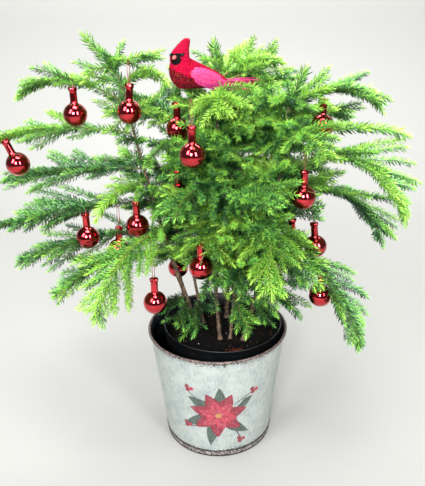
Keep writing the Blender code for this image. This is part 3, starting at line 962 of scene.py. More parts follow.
# %% [markdown]
# ## A place for the bird
# The bird is modelled level, looking along +X, and set down on the plant by one turn and
# one shift. The shoots make room for it as they do for the balls.
# %% Bird place
BIRD_PLACE = np.array((-19, -17, 430)) * MM
BIRD_TURN = radians(205)
BIRD_TIP = radians(4)


def set_down(points, turn=BIRD_TURN, place=BIRD_PLACE):
    """Tip points tail down, turn them about the upright axis and move them to their place."""
    x, y, z = np.asarray(points, float).T
    x, z = x * cos(BIRD_TIP) - z * sin(BIRD_TIP), z * cos(BIRD_TIP) + x * sin(BIRD_TIP)
    return np.stack([x * cos(turn) - y * sin(turn), x * sin(turn) + y * cos(turn), z], axis=1) + place


def picked_up(points, turn=BIRD_TURN, place=BIRD_PLACE):
    """The reverse of set_down: where points of the world lie on the bird."""
    x, y, z = (np.asarray(points, float) - place).T
    x, y = x * cos(turn) + y * sin(turn), y * cos(turn) - x * sin(turn)
    x, z = x * cos(BIRD_TIP) + z * sin(BIRD_TIP), z * cos(BIRD_TIP) - x * sin(BIRD_TIP)
    return np.stack([x, y, z], axis=1)


Room = namedtuple("Room", "forward height radius towards_camera")
BIRD_ROOM = (
    Room(24, 18, 16, 64),
    Room(8, 16, 17, 64),
    Room(-8, 15, 15, 64),
    Room(-22, 13, 12, 40),
    Room(-36, 12, 10, 40),
    Room(-50, 10, 8, 40),
    Room(-62, 8, 8, 40),
    Room(20, 34, 15, 64),
    Room(10, 48, 9, 64),
)
for room in BIRD_ROOM:
    spot = set_down([(room.forward * MM, 0, room.height * MM)])[0]
    clear(spot, room.radius * MM, room.towards_camera, 0.85)


def outside(points):
    """Which points lie clear of the ornaments."""
    free = np.ones(len(points), bool)
    for centre, radius in cleared:
        free &= ((points - centre) ** 2).sum(1) > radius**2
    return free


def kept(shoot):
    """Whether a shoot meets no ornament and closes no gap."""
    points = shoot[0]
    return outside(points).all() and not seen_through(points).any()


print("ornaments:", len(HUNG_BALLS), "balls;", len(cleared), "places kept clear")

# %% [markdown]
# ## From growth to pieces
# Now that every ornament has its place, the shoots that are left are turned into meshes:
# for each region one piece of needles, one of twigs and one of boughs. Joined pieces
# are light to handle and keep each kind apart.
# %% Needle pieces
def needle_arrays(rows):
    """Each needle: four points, a broad foot and one side painted darker as shade, a raised keel, a
    sharp tip.
    """
    base, forward, way, out, length, mark = (np.concatenate(part) for part in zip(*rows))
    free = outside(base) & outside(base + way * length[:, None])
    parts = (base, forward, way, out, length, mark)
    base, forward, way, out, length, mark = (part[free] for part in parts)
    side = unit(np.cross(way, out))
    keel = unit(np.cross(side, way))
    keel = keel * np.sign((keel * out).sum(1))[:, None]
    middle = base + way * (0.5 * length)[:, None]
    tip = middle + unit(way + 0.5 * forward) * (0.5 * length)[:, None]
    side = side * NEEDLE_HALF_WIDTH
    points = np.stack([base - side, base + side, middle + keel * 0.45 * MM, tip], axis=1)
    corners = NEEDLE_FACES[None] + 4 * np.arange(len(base))[:, None, None]
    # painted shade on the foot and one side of every needle
    marks = np.clip(mark[:, None] + PAINTED_FACE_SHADE, 0, None)
    return points.reshape(-1, 3), corners.reshape(-1, 3), marks.ravel()


def masses_of(region):
    """The frame's solids that a region's needles stand for."""
    if region.startswith("crown"):
        return [name for name, place in CROWN_REGIONS.items() if place == region]
    return ["spray_" + b.name for b in BOUGHS if region_of(b.name) == region]


for region, growth in growths.items():
    shoots = [shoot for shoot in growth.shoots if kept(shoot)]
    points, corners, marks = needle_arrays(growth.rows + [row for _, _, row in shoots])
    build("needles_" + region, points, corners, GREENS, "needles", masses_of(region), marks)
    points, corners = gather([wood for _, wood, _ in shoots])
    build("twigs_" + region, points, corners, [TWIG], "bark")
    limbs = ["bough_" + b.name for b in BOUGHS if b.bare and region_of(b.name) == region]
    points, corners = gather(growth.limbs)
    build("boughs_" + region, points, corners, [YOUNG_BARK], "bark", limbs)

# %% [markdown]
# ## The zinc pot
# The outer pot is a thin tin cone with a rolled rim and a pressed band at its foot. It is
# turned like a bowl on a lathe: one profile, swept round. A real tin is never quite
# true, so the wall gets shallow dents, and a lapped seam runs up its back.
# %% Zinc pot
POT_WALL = 1.0 * MM
RIM_BEAD = 1.5 * MM
RIM_OUTSET = 0.7 * MM
HEM_HEIGHT = 9 * MM
HEM_PROUD = 0.8 * MM
POT_SIDES = 192
SEAM_AT = radians(95)
SEAM_PROUD = 0.45 * MM
DENT = 0.7 * MM
FLOOR = POT_WALL + GAP


def pot_radius(height):
    return POT_FOOT_RADIUS + (POT_TOP_RADIUS - POT_FOOT_RADIUS) * height / POT_HEIGHT


def bend(centre, radius, first, last, count):
    """Points along part of a circle in a profile."""
    angles = np.radians(np.linspace(first, last, count))
    return [(centre[0] + radius * cos(a), centre[1] + radius * sin(a)) for a in angles]


def turned(profile, sides, centre=(0.0, 0.0), uneven=None):
    """Sweep (radius, height) pairs round an upright axis. uneven moves a ring's points."""
    angles = np.linspace(0, 2 * pi, sides, endpoint=False)
    rings = []
    for radius, height in profile:
        radii, heights = np.full(sides, radius), np.full(sides, height)
        if uneven:
            radii, heights = uneven(radii, heights, angles)
        x = centre[0] + radii * np.cos(angles)
        y = centre[1] + radii * np.sin(angles)
        rings.append(np.stack([x, y, heights], -1))
    i, j = np.meshgrid(np.arange(len(profile) - 1), np.arange(sides), indexing="ij")
    a, b = i * sides + j, i * sides + (j + 1) % sides
    corners = np.stack([a, a + sides, b + sides, b], -1).reshape(-1, 4)
    return np.concatenate(rings), corners


def dented(radii, heights, angles):
    """Shallow dents in the wall, none at the rim or the foot, and the seam at the back."""
    share = heights[0] / POT_HEIGHT
    depth = DENT * max(0.0, sin(pi * min(1, share))) * (radii[0] > POT_FOOT_RADIUS)
    spots = [Vector((2.2 * cos(a), 2.2 * sin(a), 3.5 * share)) for a in angles]
    dents = np.array([noise.noise(spot) for spot in spots]) * depth
    seam = np.clip(1.6 - np.abs(angles - SEAM_AT) * POT_TOP_RADIUS / (2.2 * MM), 0, 1)
    between = HEM_HEIGHT < heights[0] < POT_HEIGHT - 2 * RIM_BEAD
    proud = SEAM_PROUD * (radii[0] > POT_FOOT_RADIUS) * between
    return radii + dents + seam * proud, heights


def zinc_profile():
    """From the middle of the inner floor, over the rim, to the middle of the underside."""
    bead = (POT_TOP_RADIUS + RIM_OUTSET, POT_HEIGHT - RIM_BEAD)
    upwards = np.linspace(POT_WALL, POT_HEIGHT - 1.6 * RIM_BEAD, 14)
    downwards = np.linspace(POT_HEIGHT - 2.1 * RIM_BEAD, HEM_HEIGHT + 2 * MM, 44)
    inner = [(pot_radius(h) - POT_WALL, h) for h in upwards]
    rim = bend(bead, RIM_BEAD, 190, -80, 13)
    outer = [(pot_radius(h), h) for h in downwards]
    hem = pot_radius(HEM_HEIGHT) + HEM_PROUD
    foot = POT_FOOT_RADIUS + HEM_PROUD
    hem_line = ((-0.3, 0.4), (0, -0.4), (-0.5, -1.4))
    foot_line = ((-0.4, 3), (0, 2.2), (0, 1.0))
    band = [(hem + out * MM, HEM_HEIGHT + up * MM) for out, up in hem_line]
    band += [(foot + out * MM, up * MM) for out, up in foot_line]
    band += [(POT_FOOT_RADIUS, 0.0), (0.0, 0.0)]
    return [(0.0, POT_WALL)] + inner + rim + outer + band, 1 + len(inner)


profile, inner_rings = zinc_profile()
print("zinc profile:", len(profile), "points,", inner_rings, "rings inside")

# %% [markdown]
# ## Zinc that looks old
# The sheet is printed and rubbed to look old. Its paint is built up like the real one:
# clouds and brush marks first, then specks that crowd towards the rim and the foot, and
# last the bare bead and the dark pressed band, each found by its height on the pot.
# %% Zinc finish
def zinc_finish():
    """Galvanised sheet: faint clouds and fine upright brush marks, worn at rim and foot."""
    zinc = Finish("zinc", paint(172, 180, 176), 0.45, 0.25)
    height = zinc.height()
    cloud = zinc.grain(7 * MM, 6.0, 0.65)
    drawn = zinc.node("VectorMath", {"operation": "MULTIPLY"}, {0: zinc.place(), 1: (1.0, 1.0, 0.35)})
    brushed = zinc.grain(1.1 * MM, 5.0, 0.7, drawn)
    fine = zinc.grain(0.9 * MM, 3.0, 0.7)
    smudge = zinc.grain(24 * MM, 2.0)
    tone = cloud * 0.45 + brushed * 0.55
    plain = zinc.mix(tone.past(0.5, 0.13), paint(142, 151, 150), paint(178, 184, 179))
    scratched = zinc.mix((brushed + cloud * 0.3).past(0.78, 0.05) * 0.5, plain, paint(112, 120, 122))
    near_rim = height.past(139 * MM, 6 * MM) * 0.19
    near_foot = 1 - height.past(12 * MM, 9 * MM)
    speck = (fine + near_rim + near_foot * 0.24 + smudge * 0.1).past(0.74, 0.03)
    worn = zinc.mix(speck, scratched, paint(58, 44, 44))
    bead = height.past(144.3 * MM, 0.5 * MM)
    rim = zinc.mix((fine + smudge * 0.2).past(0.6, 0.08), paint(52, 37, 36), paint(132, 116, 111))
    band = 1 - height.past(8.2 * MM, 0.4 * MM)
    band_paint = zinc.mix(fine.past(0.5, 0.05), paint(164, 158, 152), paint(46, 34, 34))
    foot = 1 - height.past(2.6 * MM, 0.5 * MM)
    shadow = height.past(8.2 * MM, 0.4 * MM) * (1 - height.past(10.4 * MM, 0.8 * MM))
    ringed = zinc.mix(shadow * fine.past(0.36, 0.08), worn, paint(26, 16, 18))
    banded = zinc.mix(band, ringed, band_paint)
    footed = zinc.mix(foot, banded, paint(30, 20, 20))
    zinc.colour(zinc.mix(bead, footed, rim))
    zinc.roughness(0.38 + cloud * 0.16 + speck * 0.2)
    zinc.relief(cloud * 0.5 + brushed * 0.4 + speck * 0.6, 0.12 * MM)
    return zinc


ZINC = zinc_finish()
# The inside of the tin is near black, with paler blue-grey blotches that are also rougher.
TIN_INSIDE = Finish("tin_inside", paint(20, 24, 30), 0.4, 0.3)
inside_blotches = TIN_INSIDE.grain(6 * MM, 4.0)
TIN_INSIDE.flecked(inside_blotches, 0.55, 0.15, paint(12, 14, 18), paint(44, 52, 60))
TIN_INSIDE.roughness(0.3 + inside_blotches * 0.25)
points, corners = turned(profile, POT_SIDES, uneven=dented)
marks = np.repeat(np.arange(len(profile) - 1) < inner_rings, POT_SIDES)
weld(build("zinc_tin", points, corners, [ZINC, TIN_INSIDE], "zinc", ["zinc_pot"], marks))

# %% [markdown]
# ## The picture on the pot
# A muted winter flower is printed on the front of the tin, with leaves and berries. Each
# petal, leaf and berry is a small grid laid a hair's breadth outside the cone, so the
# outlines stay crisp and the picture follows the curve of the pot. The ink is thin: the
# grey of the zinc shows through in flecks.
# %% Print
PRINT_AT = radians(271)
INK_LIFT = 0.12 * MM
INK_STEP = 0.012 * MM


def ink_finish(name, colour, fleck):
    ink = Finish(name, colour, 0.5, 0.1)
    thin = ink.grain(1.0 * MM, 5.0, 0.75).past(0.56, 0.1)
    wash = ink.grain(4 * MM, 3.0).past(0.5, 0.16)
    ink.colour(ink.mix(thin * 0.6, ink.mix(wash * 0.35, colour, paint(60, 40, 48)), fleck))
    return ink


INKS = (
    ink_finish("ink_wine", paint(126, 34, 50), paint(160, 100, 106)),
    ink_finish("ink_rose", paint(164, 48, 66), paint(186, 124, 130)),
    ink_finish("ink_gold", paint(190, 150, 84), paint(150, 110, 70)),
    ink_finish("ink_leaf", paint(58, 80, 68), paint(120, 136, 130)),
    ink_finish("ink_twig", paint(66, 56, 58), paint(120, 118, 118)),
)
WINE, ROSE, GOLD, LEAF, INK_TWIG = range(len(INKS))
print("inks:", len(INKS))
patches = []
patch_marks = []


def lay(across, up, mark):
    """Lay a grid of print on the cone. across and up are in millimetres."""
    up = up * MM
    radius = pot_radius(up) + INK_LIFT + INK_STEP * len(patches)
    angle = PRINT_AT + across * MM / radius
    rows, columns = up.shape
    i, j = np.meshgrid(np.arange(rows - 1), np.arange(columns - 1), indexing="ij")
    a = (i * columns + j).ravel()
    patch = np.stack([radius * np.cos(angle), radius * np.sin(angle), up], -1).reshape(-1, 3)
    patches.append((patch, np.stack([a, a + columns, a + columns + 1, a + 1], -1)))
    patch_marks.append(np.full(len(a), mark))


def petal(x, y, turn, length, width, mark, curl=0.0, tip=0.85):
    """A pointed petal or leaf whose spine curls from its foot to its tip."""
    share = np.linspace(0, 1, 14)
    heading = np.radians(turn) + curl * share
    spine_x = x + np.concatenate([[0], np.cumsum(np.cos(heading[:-1]))]) * length / 13
    spine_y = y + np.concatenate([[0], np.cumsum(np.sin(heading[:-1]))]) * length / 13
    half = 0.5 * width * np.sin(pi * share**tip) ** 0.9 + 0.12
    span = np.linspace(-1, 1, 5)[None]
    lay(
        spine_x[:, None] - np.sin(heading)[:, None] * half[:, None] * span,
        spine_y[:, None] + np.cos(heading)[:, None] * half[:, None] * span,
        mark,
    )


def berry(x, y, radius, mark):
    ring = np.linspace(0, 2 * pi, 17)[None]
    reach = np.linspace(0.05, 1, 4)[:, None] * radius
    lay(x + reach * np.cos(ring), y + reach * np.sin(ring), mark)


# %% [markdown]
# ## The flower
# Green leaves lie lowest, then berries on thin twigs, then seven wine petals, six rose
# ones and the gold middle. Every patch is laid a little further out than the one before,
# so that the order of printing decides what covers what.
# %% Flower
BLOOM = (-2, 68)
for turn, length in ((200, 47), (252, 50), (312, 50), (22, 48), (140, 44), (82, 42)):
    petal(*BLOOM, turn, length, 15, LEAF, curl=0.25)
    petal(*BLOOM, turn, length * 0.96, 0.9, INK_TWIG, curl=0.25)
for x, y, turn, length in ((-16, 56, 215, 34), (14, 52, 300, 38), (16, 82, 40, 34), (-20, 86, 150, 30)):
    petal(x, y, turn, length, 1.1, INK_TWIG, curl=-0.4)
    end = (x + length * 0.82 * cos(radians(turn - 11)), y + length * 0.82 * sin(radians(turn - 11)))
    for k, (dx, dy) in enumerate(((0, 0), (4.5, 2.5), (-1, 5))):
        berry(end[0] + dx, end[1] + dy, 2.8, (WINE, ROSE)[k % 2])
for k in range(7):
    turn = 360 * k / 7 + 8
    petal(*BLOOM, turn, 35, 18, WINE, curl=0.15, tip=0.75)
    petal(*BLOOM, turn, 33, 0.9, ROSE, curl=0.15)
for k in range(6):
    turn = 60 * k - 12
    petal(*BLOOM, turn, 24, 13, ROSE, curl=-0.15, tip=0.75)
    petal(*BLOOM, turn, 22, 0.8, WINE, curl=-0.15)
for k in range(6):
    berry(BLOOM[0] + 2.6 * cos(k * pi / 3), BLOOM[1] + 2.6 * sin(k * pi / 3), 1.3, GOLD)
berry(*BLOOM, 1.4, GOLD)
points, corners = gather(patches)
build("pot_print", points, corners, INKS, "zinc", marks=np.concatenate(patch_marks))

# %% [markdown]
# ## The nursery pot and its soil
# Inside stands the grower's black plastic pot, moulded with a thin lip that catches the
# light. Its peat mix is almost black. Crumbs, bark chips and white grit are too many to
# place by hand, so one function scatters uneven pebbles over the crowned surface.
# %% Nursery pot
LINER_WALL = 1.2 * MM
LINER_LIP = 0.8 * MM
PLASTIC = Finish("black_plastic", paint(16, 17, 20), 0.38, Specular_IOR_Level=0.35)
scuff = PLASTIC.grain(5 * MM, 6.0, 0.7)
PLASTIC.colour(PLASTIC.mix(scuff.past(0.62, 0.1) * 0.6, paint(6, 7, 9), paint(24, 27, 30)))
PLASTIC.roughness(0.3 + scuff * 0.3)
PLASTIC.relief(scuff, 0.08 * MM)


def liner_radius(height):
    widening = LINER_TOP_RADIUS - LINER_FOOT_RADIUS
    return LINER_FOOT_RADIUS + widening * (height - FLOOR) / (LINER_TOP - FLOOR)


lip = (LINER_TOP_RADIUS - 0.2 * MM, LINER_TOP - LINER_LIP)
skirt = LINER_TOP - 6 * LINER_LIP
upwards = np.linspace(FLOOR + LINER_WALL, LINER_TOP - LINER_LIP, 12)
profile = [(0.0, FLOOR + LINER_WALL)]
profile += [(liner_radius(h) - LINER_WALL, h) for h in upwards]
profile += bend(lip, LINER_LIP, 130, -50, 9)
profile += [(liner_radius(skirt) + 0.9 * MM, skirt + 1 * MM), (liner_radius(skirt) + 0.2 * MM, skirt)]
profile += [(liner_radius(h), h) for h in np.linspace(skirt - 1 * MM, FLOOR, 8)]
profile += [(0.0, FLOOR)]
points, corners = turned(profile, 128, LINER_CENTRE)
weld(build("liner", points, corners, [PLASTIC], "black_plastic", ["nursery_pot"]))

# %% [markdown]
# ## Potting mix
# Peat is nearly black when wet, so its relief shows more than its colour. The face of
# the soil is a turned shape with lumps of noise.
# %% Soil
SOIL_FLOOR = FLOOR + LINER_WALL + GAP


def earth_finish(name, dark, pale, size):
    earth = Finish(name, dark, 0.95, Specular_IOR_Level=0.15)
    earth.flecked(earth.grain(size, 6.0, 0.75), 0.56, 0.12, dark, pale)
    earth.relief(earth.grain(size * 0.5, 5.0, 0.7), 0.3 * MM)
    return earth


PEAT = earth_finish("peat", paint(4, 3, 3), paint(16, 12, 10), 2.2 * MM)
CHIP = earth_finish("bark_chip", paint(40, 26, 18), paint(90, 62, 44), 1.2 * MM)
RUST_CHIP = earth_finish("rust_chip", paint(90, 34, 22), paint(150, 80, 60), 1.0 * MM)
GRIT = earth_finish("grit", paint(190, 186, 176), paint(140, 134, 124), 0.8 * MM)


def crown_height(x, y):
    """Height of the soil's crowned face under a point."""
    spread = Vector((x - LINER_CENTRE[0], y - LINER_CENTRE[1])).length / liner_radius(SOIL_TOP)
    return SOIL_TOP + SOIL_CROWN * (1 - 2 * spread**2)


def lumpy(radii, heights, angles):
    if heights[0] < SOIL_TOP - 4 * MM:
        return radii, heights
    spots = [Vector((r * cos(a), r * sin(a), 0.3)) * 120 for r, a in zip(radii, angles)]
    lumps = [noise.noise(spot) + 0.5 * noise.noise(spot * 2.7) for spot in spots]
    return radii, heights + np.array(lumps) * 0.9 * MM - 0.8 * MM


edge = liner_radius(SOIL_TOP) - LINER_WALL - GAP
profile = [(0.0, SOIL_FLOOR), (liner_radius(SOIL_FLOOR) - LINER_WALL - GAP, SOIL_FLOOR)]
profile += [(r, crown_height(LINER_CENTRE[0] + r, LINER_CENTRE[1])) for r in np.linspace(edge, 0, 40)]
points, corners = turned(profile, 128, LINER_CENTRE, lumpy)
weld(build("peat_mix", points, corners, [PEAT], "soil", ["soil"]))

# %% [markdown]
# ## What lies on the soil
# Crumbs, grit and chips are all the same uneven eight-sided lump, stretched to its own
# proportions and turned at random. The rusty chips lie in one small heap at the front.
# %% Crumbs, grit and chips
CORNERS = ((1, 0, 0), (-1, 0, 0), (0, 1, 0), (0, -1, 0), (0, 0, 1), (0, 0, -1))
UPPER_FACES = ((0, 2, 4), (2, 1, 4), (1, 3, 4), (3, 0, 4))
LOWER_FACES = ((2, 0, 5), (1, 2, 5), (3, 1, 5), (0, 3, 5))
PEBBLE = np.array(CORNERS, float)
PEBBLE_FACES = np.array(UPPER_FACES + LOWER_FACES)
CRUMBS = 2400
GRITS = 15
CHIPS = 150
HEAP = 70
HEAP_AT = np.array((22, -47, 0)) * MM


def pebbles(centres, sizes, chance):
    """Uneven eight-sided lumps, each turned its own way."""
    count = len(centres)
    first = unit(chance.normal(0, 1, (count, 3)))
    second = unit(np.cross(first, chance.normal(0, 1, (count, 3))))
    axes = np.stack([first, second, np.cross(first, second)], axis=1)
    shape = PEBBLE[None] * chance.uniform(0.7, 1.15, (count, 6, 1)) * sizes[:, None, :]
    points = np.einsum("nki,nij->nkj", shape, axes) + centres[:, None]
    corners = PEBBLE_FACES[None] + 6 * np.arange(count)[:, None, None]
    return points.reshape(-1, 3), corners.reshape(-1, 3)


def scatter(count, chance, reach=0.97):
    """Places spread evenly over the soil."""
    radius = edge * reach * np.sqrt(chance.uniform(0, 1, count))
    turn = chance.uniform(0, 2 * pi, count)
    x, y = LINER_CENTRE[0] + radius * np.cos(turn), LINER_CENTRE[1] + radius * np.sin(turn)
    return np.stack([x, y, [crown_height(*spot) for spot in zip(x, y)]], axis=1)


def strew(name, centres, least, most, shape, finish, chance):
    """Pebbles of one kind, with half sizes of least to most times their shape in mm."""
    sizes = chance.uniform(least, most, (len(centres), 1)) * (np.array(shape) * MM)
    build(name, *pebbles(centres, sizes, chance), [finish], "soil", smooth=False)


chance = np.random.default_rng(31)
raised = UP * 0.4 * MM
strew("soil_crumbs", scatter(CRUMBS, chance), 0.5, 1.5, (1, 1, 1), PEAT, chance)
strew("soil_grit", scatter(GRITS, chance) + raised, 0.4, 0.9, (1, 1, 1), GRIT, chance)
strew("bark_chips", scatter(CHIPS, chance) + raised, 0.6, 1.3, (2, 1, 0.5), CHIP, chance)
heap = HEAP_AT + chance.normal(0, 1, (HEAP, 3)) * (5.5 * MM, 2.5 * MM, 0)
heap[:, 2] = [crown_height(x, y) + 0.6 * MM for x, y, _ in heap]
strew("rusty_chips", heap, 0.5, 1.2, (2, 1.1, 0.7), RUST_CHIP, chance)

# %% [markdown]
# ## Glass balls
# The balls are thin blown glass, silvered and lacquered red: a dark mirror. That is a
# metallic red under a clear coat, so the lamps leave white glints while the rest stays
# red. Each has a long drawn neck with a crimped end, and a thread loop over its twig.
# %% Glass balls
GLASS = Finish("red_glass", paint(196, 10, 28), 0.06, 1.0, Coat_Weight=1.0, Coat_Roughness=0.03)
ripple = GLASS.grain(7 * MM, 2.0)
GLASS.flecked(ripple, 0.5, 0.2, paint(186, 8, 26), paint(212, 24, 42))
GLASS.relief(ripple, 0.12 * MM)
THREAD = Finish("loop_thread", paint(120, 48, 44), 0.8)
THREAD.flecked(THREAD.grain(0.5 * MM, 3.0), 0.5, 0.15, paint(104, 40, 38), paint(150, 78, 66))
BALL_SIDES = 36
NECK_MEETS = 20
NECK = ((4.15, 13.2), (4.0, 15), (3.95, 19), (3.95, 23), (4.1, 24.6))
NECK_END = ((4.6, 25.2), (4.7, 26.0), (4.5, 27.8), (4.0, 28.8), (2.0, 29.2), (0.0, 29.3))
bulb = np.radians(np.linspace(0, 180 - NECK_MEETS, 22))
profile = [(BALL_RADIUS * sin(a), -BALL_RADIUS * cos(a)) for a in bulb]
profile += [(radius * MM, height * MM) for radius, height in NECK + NECK_END]


def crimped(radii, heights, angles):
    """The neck's end is pinched into pleats."""
    pleat = np.clip((heights - 25 * MM) / (2 * MM), 0, 1)
    return radii * (1 + 0.10 * pleat * np.cos(7 * angles)), heights


def thread_loop(hook, top, centre):
    """A narrow loop from just inside the neck's end to over the twig."""
    turn = np.linspace(0, 2 * pi, 26)
    high = hook + UP * 0.9 * MM
    low = top - (top - centre) * 0.02
    middle, half = (high + low) / 2, (high - low) / 2
    loop = middle - half * np.cos(turn)[:, None] + RIGHT * (LOOP_HALF_WIDTH * np.sin(turn))[:, None]
    return tube(loop, np.full(len(loop), THREAD_RADIUS), 5)


LOOP_HALF_WIDTH = 1.3 * MM
THREAD_RADIUS = 0.32 * MM
ball_points, ball_corners = turned(profile, BALL_SIDES, uneven=crimped)
balls, loops = [], []
chance = np.random.default_rng(41)
for (hook, top, centre), ball in zip(HUNG_BALLS, BALLS):
    spin = Matrix.Rotation(chance.uniform(0, 6.28), 3, "Z")
    lean = Matrix.Rotation(radians(ball.lean), 3, "Y")
    balls.append((ball_points @ np.array(lean @ spin).T + centre, ball_corners))
    loops.append(thread_loop(hook, top, centre))
weld(build("glass_balls", *gather(balls), [GLASS], "needles"))
build("ball_loops", *gather(loops), [THREAD], "needles")

# %% [markdown]
# ## The felt bird
# A craft cardinal perches in the top: a flocked foam body, a bead-black mask and eyes,
# and dyed feathers for wings and tail. The felts are one colour each with a mottled nap,
# and a patch of darker red is painted on the lower body as shade.
# %% Felts
RED_FELT = Finish("red_felt", paint(150, 4, 42), 0.95, Specular_IOR_Level=0.1)
nap = RED_FELT.grain(0.9 * MM, 4.0, 0.7)
RED_FELT.flecked(nap, 0.5, 0.15, paint(128, 2, 32), paint(166, 4, 48))
RED_FELT.relief(nap, 0.3 * MM)
# painted shade: a darker red felt for the underside of the body
BELLY_SHADE_FELT = Finish("dark_felt", paint(96, 6, 20), 0.95, Specular_IOR_Level=0.2)
belly_shade_nap = BELLY_SHADE_FELT.grain(1.2 * MM, 4.0, 0.7)
BELLY_SHADE_FELT.flecked(belly_shade_nap, 0.52, 0.12, paint(70, 2, 12), paint(128, 4, 24))
BLACK_FELT = Finish("black_felt", paint(10, 8, 10), 0.9, Specular_IOR_Level=0.15)
black_nap = BLACK_FELT.grain(1.0 * MM)
BLACK_FELT.flecked(black_nap, 0.6, 0.1, paint(5, 4, 5), paint(24, 18, 20))
FELTS = [RED_FELT, BELLY_SHADE_FELT, BLACK_FELT]
print("felts:", [felt.material.name for felt in FELTS])

# %% [markdown]
# ## A body without edges
# A soft form has no edges to draw. So the body, the neck and the crest are three rough
# lofts of oval rings, melted together by a voxel remesh and then smoothed. The ovals are
# all sizes in millimetres, measured forward from the middle of the body.
# %% Bird body
HEAD_AT = (19.0, 0.0, 32.0)
HEAD_TURN = radians(243)
OVAL_POINTS = 22
Upright = namedtuple("Upright", "forward height half_height half_width")
BIRD_SECTIONS = (
    Upright(-35, 10.5, 1.5, 3),
    Upright(-30, 11.2, 3.8, 6),
    Upright(-20, 12.6, 8, 9),
    Upright(-6, 14.4, 11.8, 12.5),
    Upright(8, 16.8, 14.8, 14),
    Upright(18, 17.2, 15.2, 13.6),
    Upright(24.2, 19, 12.4, 11),
    Upright(27.2, 20, 8, 7),
    Upright(28.6, 20, 3, 3),
)
BIRD_NECK = (
    Upright(8, 19, 10, 11),
    Upright(12, 25, 11, 11.5),
    Upright(17, 29, 11, 11),
    Upright(25, 31, 8, 8),
)
Flat = namedtuple("Flat", "height forward half_length half_width")
CREST = (
    Flat(-9, 0, 7, 7),
    Flat(-3, 0, 10.2, 9.6),
    Flat(3, -0.6, 10.6, 9.2),
    Flat(7, -3.2, 9.6, 7.4),
    Flat(11, -7.2, 8.0, 5.8),
    Flat(14.5, -11, 6.2, 4.7),
    Flat(17, -13.6, 4.4, 3.7),
    Flat(18.4, -14.8, 2.4, 2.2),
)
circle = np.linspace(0, 2 * pi, OVAL_POINTS, endpoint=False)


def upright_rings(sections):
    """Oval rings across the bird."""
    rings = []
    for oval in sections:
        across = oval.half_width * np.cos(circle)
        height = oval.height + oval.half_height * np.sin(circle)
        rings.append(np.stack([np.full(OVAL_POINTS, oval.forward), across, height], -1))
    return np.array(rings) * MM


def level_rings(sections):
    """Oval rings laid flat, measured from the middle of the head."""
    rings = []
    for oval in sections:
        along = oval.forward + oval.half_length * np.cos(circle)
        across = oval.half_width * np.sin(circle)
        rings.append(np.stack([along, across, np.full(OVAL_POINTS, oval.height)], -1))
    return np.array(rings) * MM


HEAD_PLACE = set_down([np.array(HEAD_AT) * MM])[0]


def head_to_world(points):
    return set_down(points, HEAD_TURN, HEAD_PLACE)


def melted(name, parts, voxel, rounds):
    """Join rough lofts into one smooth skin, as arrays."""
    points, corners = gather(parts)
    mesh = bpy.data.meshes.new(name)
    mesh.from_pydata(points.tolist(), [], corners.tolist())
    draft = bpy.data.objects.new(name, mesh)
    bpy.context.scene.collection.objects.link(draft)
    remesh = draft.modifiers.new("melt", "REMESH")
    remesh.mode = "VOXEL"
    remesh.voxel_size = voxel
    soften = draft.modifiers.new("soften", "SMOOTH")
    soften.factor = 0.5
    soften.iterations = rounds
    bpy.context.view_layer.update()
    done = draft.evaluated_get(bpy.context.evaluated_depsgraph_get()).to_mesh()
    points = np.array([tuple(v.co) for v in done.vertices])
    normals = np.array([tuple(v.normal) for v in done.vertices])
    corners = np.array([tuple(p.vertices) for p in done.polygons])
    bpy.data.objects.remove(draft, do_unlink=True)
    return points, normals, corners


def felt_marks(points):
    """Red felt, darker red below the breast as painted shade, black round the beak."""
    body = picked_up(points) / MM
    forward, across, height = picked_up(points, HEAD_TURN, HEAD_PLACE).T / MM
    ragged = np.array([noise.noise(Vector(p) * 300) for p in points])
    # painted shade: the lower body, below a ragged slanting line, takes the darker red felt
    belly = (body[:, 2] < 9 + 0.42 * body[:, 0] + 3 * ragged) & (body[:, 0] > -20)
    chin = ((across - 0.6) / 5.6) ** 2 + ((height + 2.4) / 4.9) ** 2 < 1 + 0.25 * ragged
    brow = abs(height - 1.6 - 0.12 * abs(across)) < 1.7 + 0.5 * ragged
    mask = (forward > 1.5) & (chin | (abs(across) < 8) & brow)
    return np.where(mask, 2, np.where(belly, 1, 0))


body_points, body_faces = skin(upright_rings(BIRD_SECTIONS))
neck_points, neck_faces = skin(upright_rings(BIRD_NECK))
crest_points, crest_faces = skin(level_rings(CREST))
lofts = [
    (set_down(body_points), body_faces),
    (set_down(neck_points), neck_faces),
    (head_to_world(crest_points), crest_faces),
]
points, normals, corners = melted("bird_draft", lofts, 0.85 * MM, 12)
build("bird_body", points, corners, FELTS, "needles", marks=felt_marks(points[corners].mean(1)))

# %% [markdown]
# ## Flock
# Flocking is short fibre blown on to glue. Thousands of three-point hairs, each leaning
# its own way, give the outline its fuzz.
# %% Flock
FIBRES = 5200


def hairs(bases, ways, lengths, width, chance):
    """Thin tapering fibres, three points each."""
    across = unit(np.cross(ways, chance.normal(0, 1, ways.shape))) * width / 2
    tips = bases + ways * lengths[:, None]
    points = np.stack([bases - across, bases + across, tips], axis=1).reshape(-1, 3)
    return points, np.arange(len(points)).reshape(-1, 3)


chance = np.random.default_rng(51)
picked = chance.integers(0, len(points), FIBRES)
ways = unit(normals[picked] + chance.normal(0, 0.45, (FIBRES, 3)))
flock = hairs(points[picked], ways, chance.uniform(0.5, 1.5, FIBRES) * MM, 0.2 * MM, chance)
build("bird_flock", *flock, FELTS, "needles", marks=felt_marks(points[picked]))

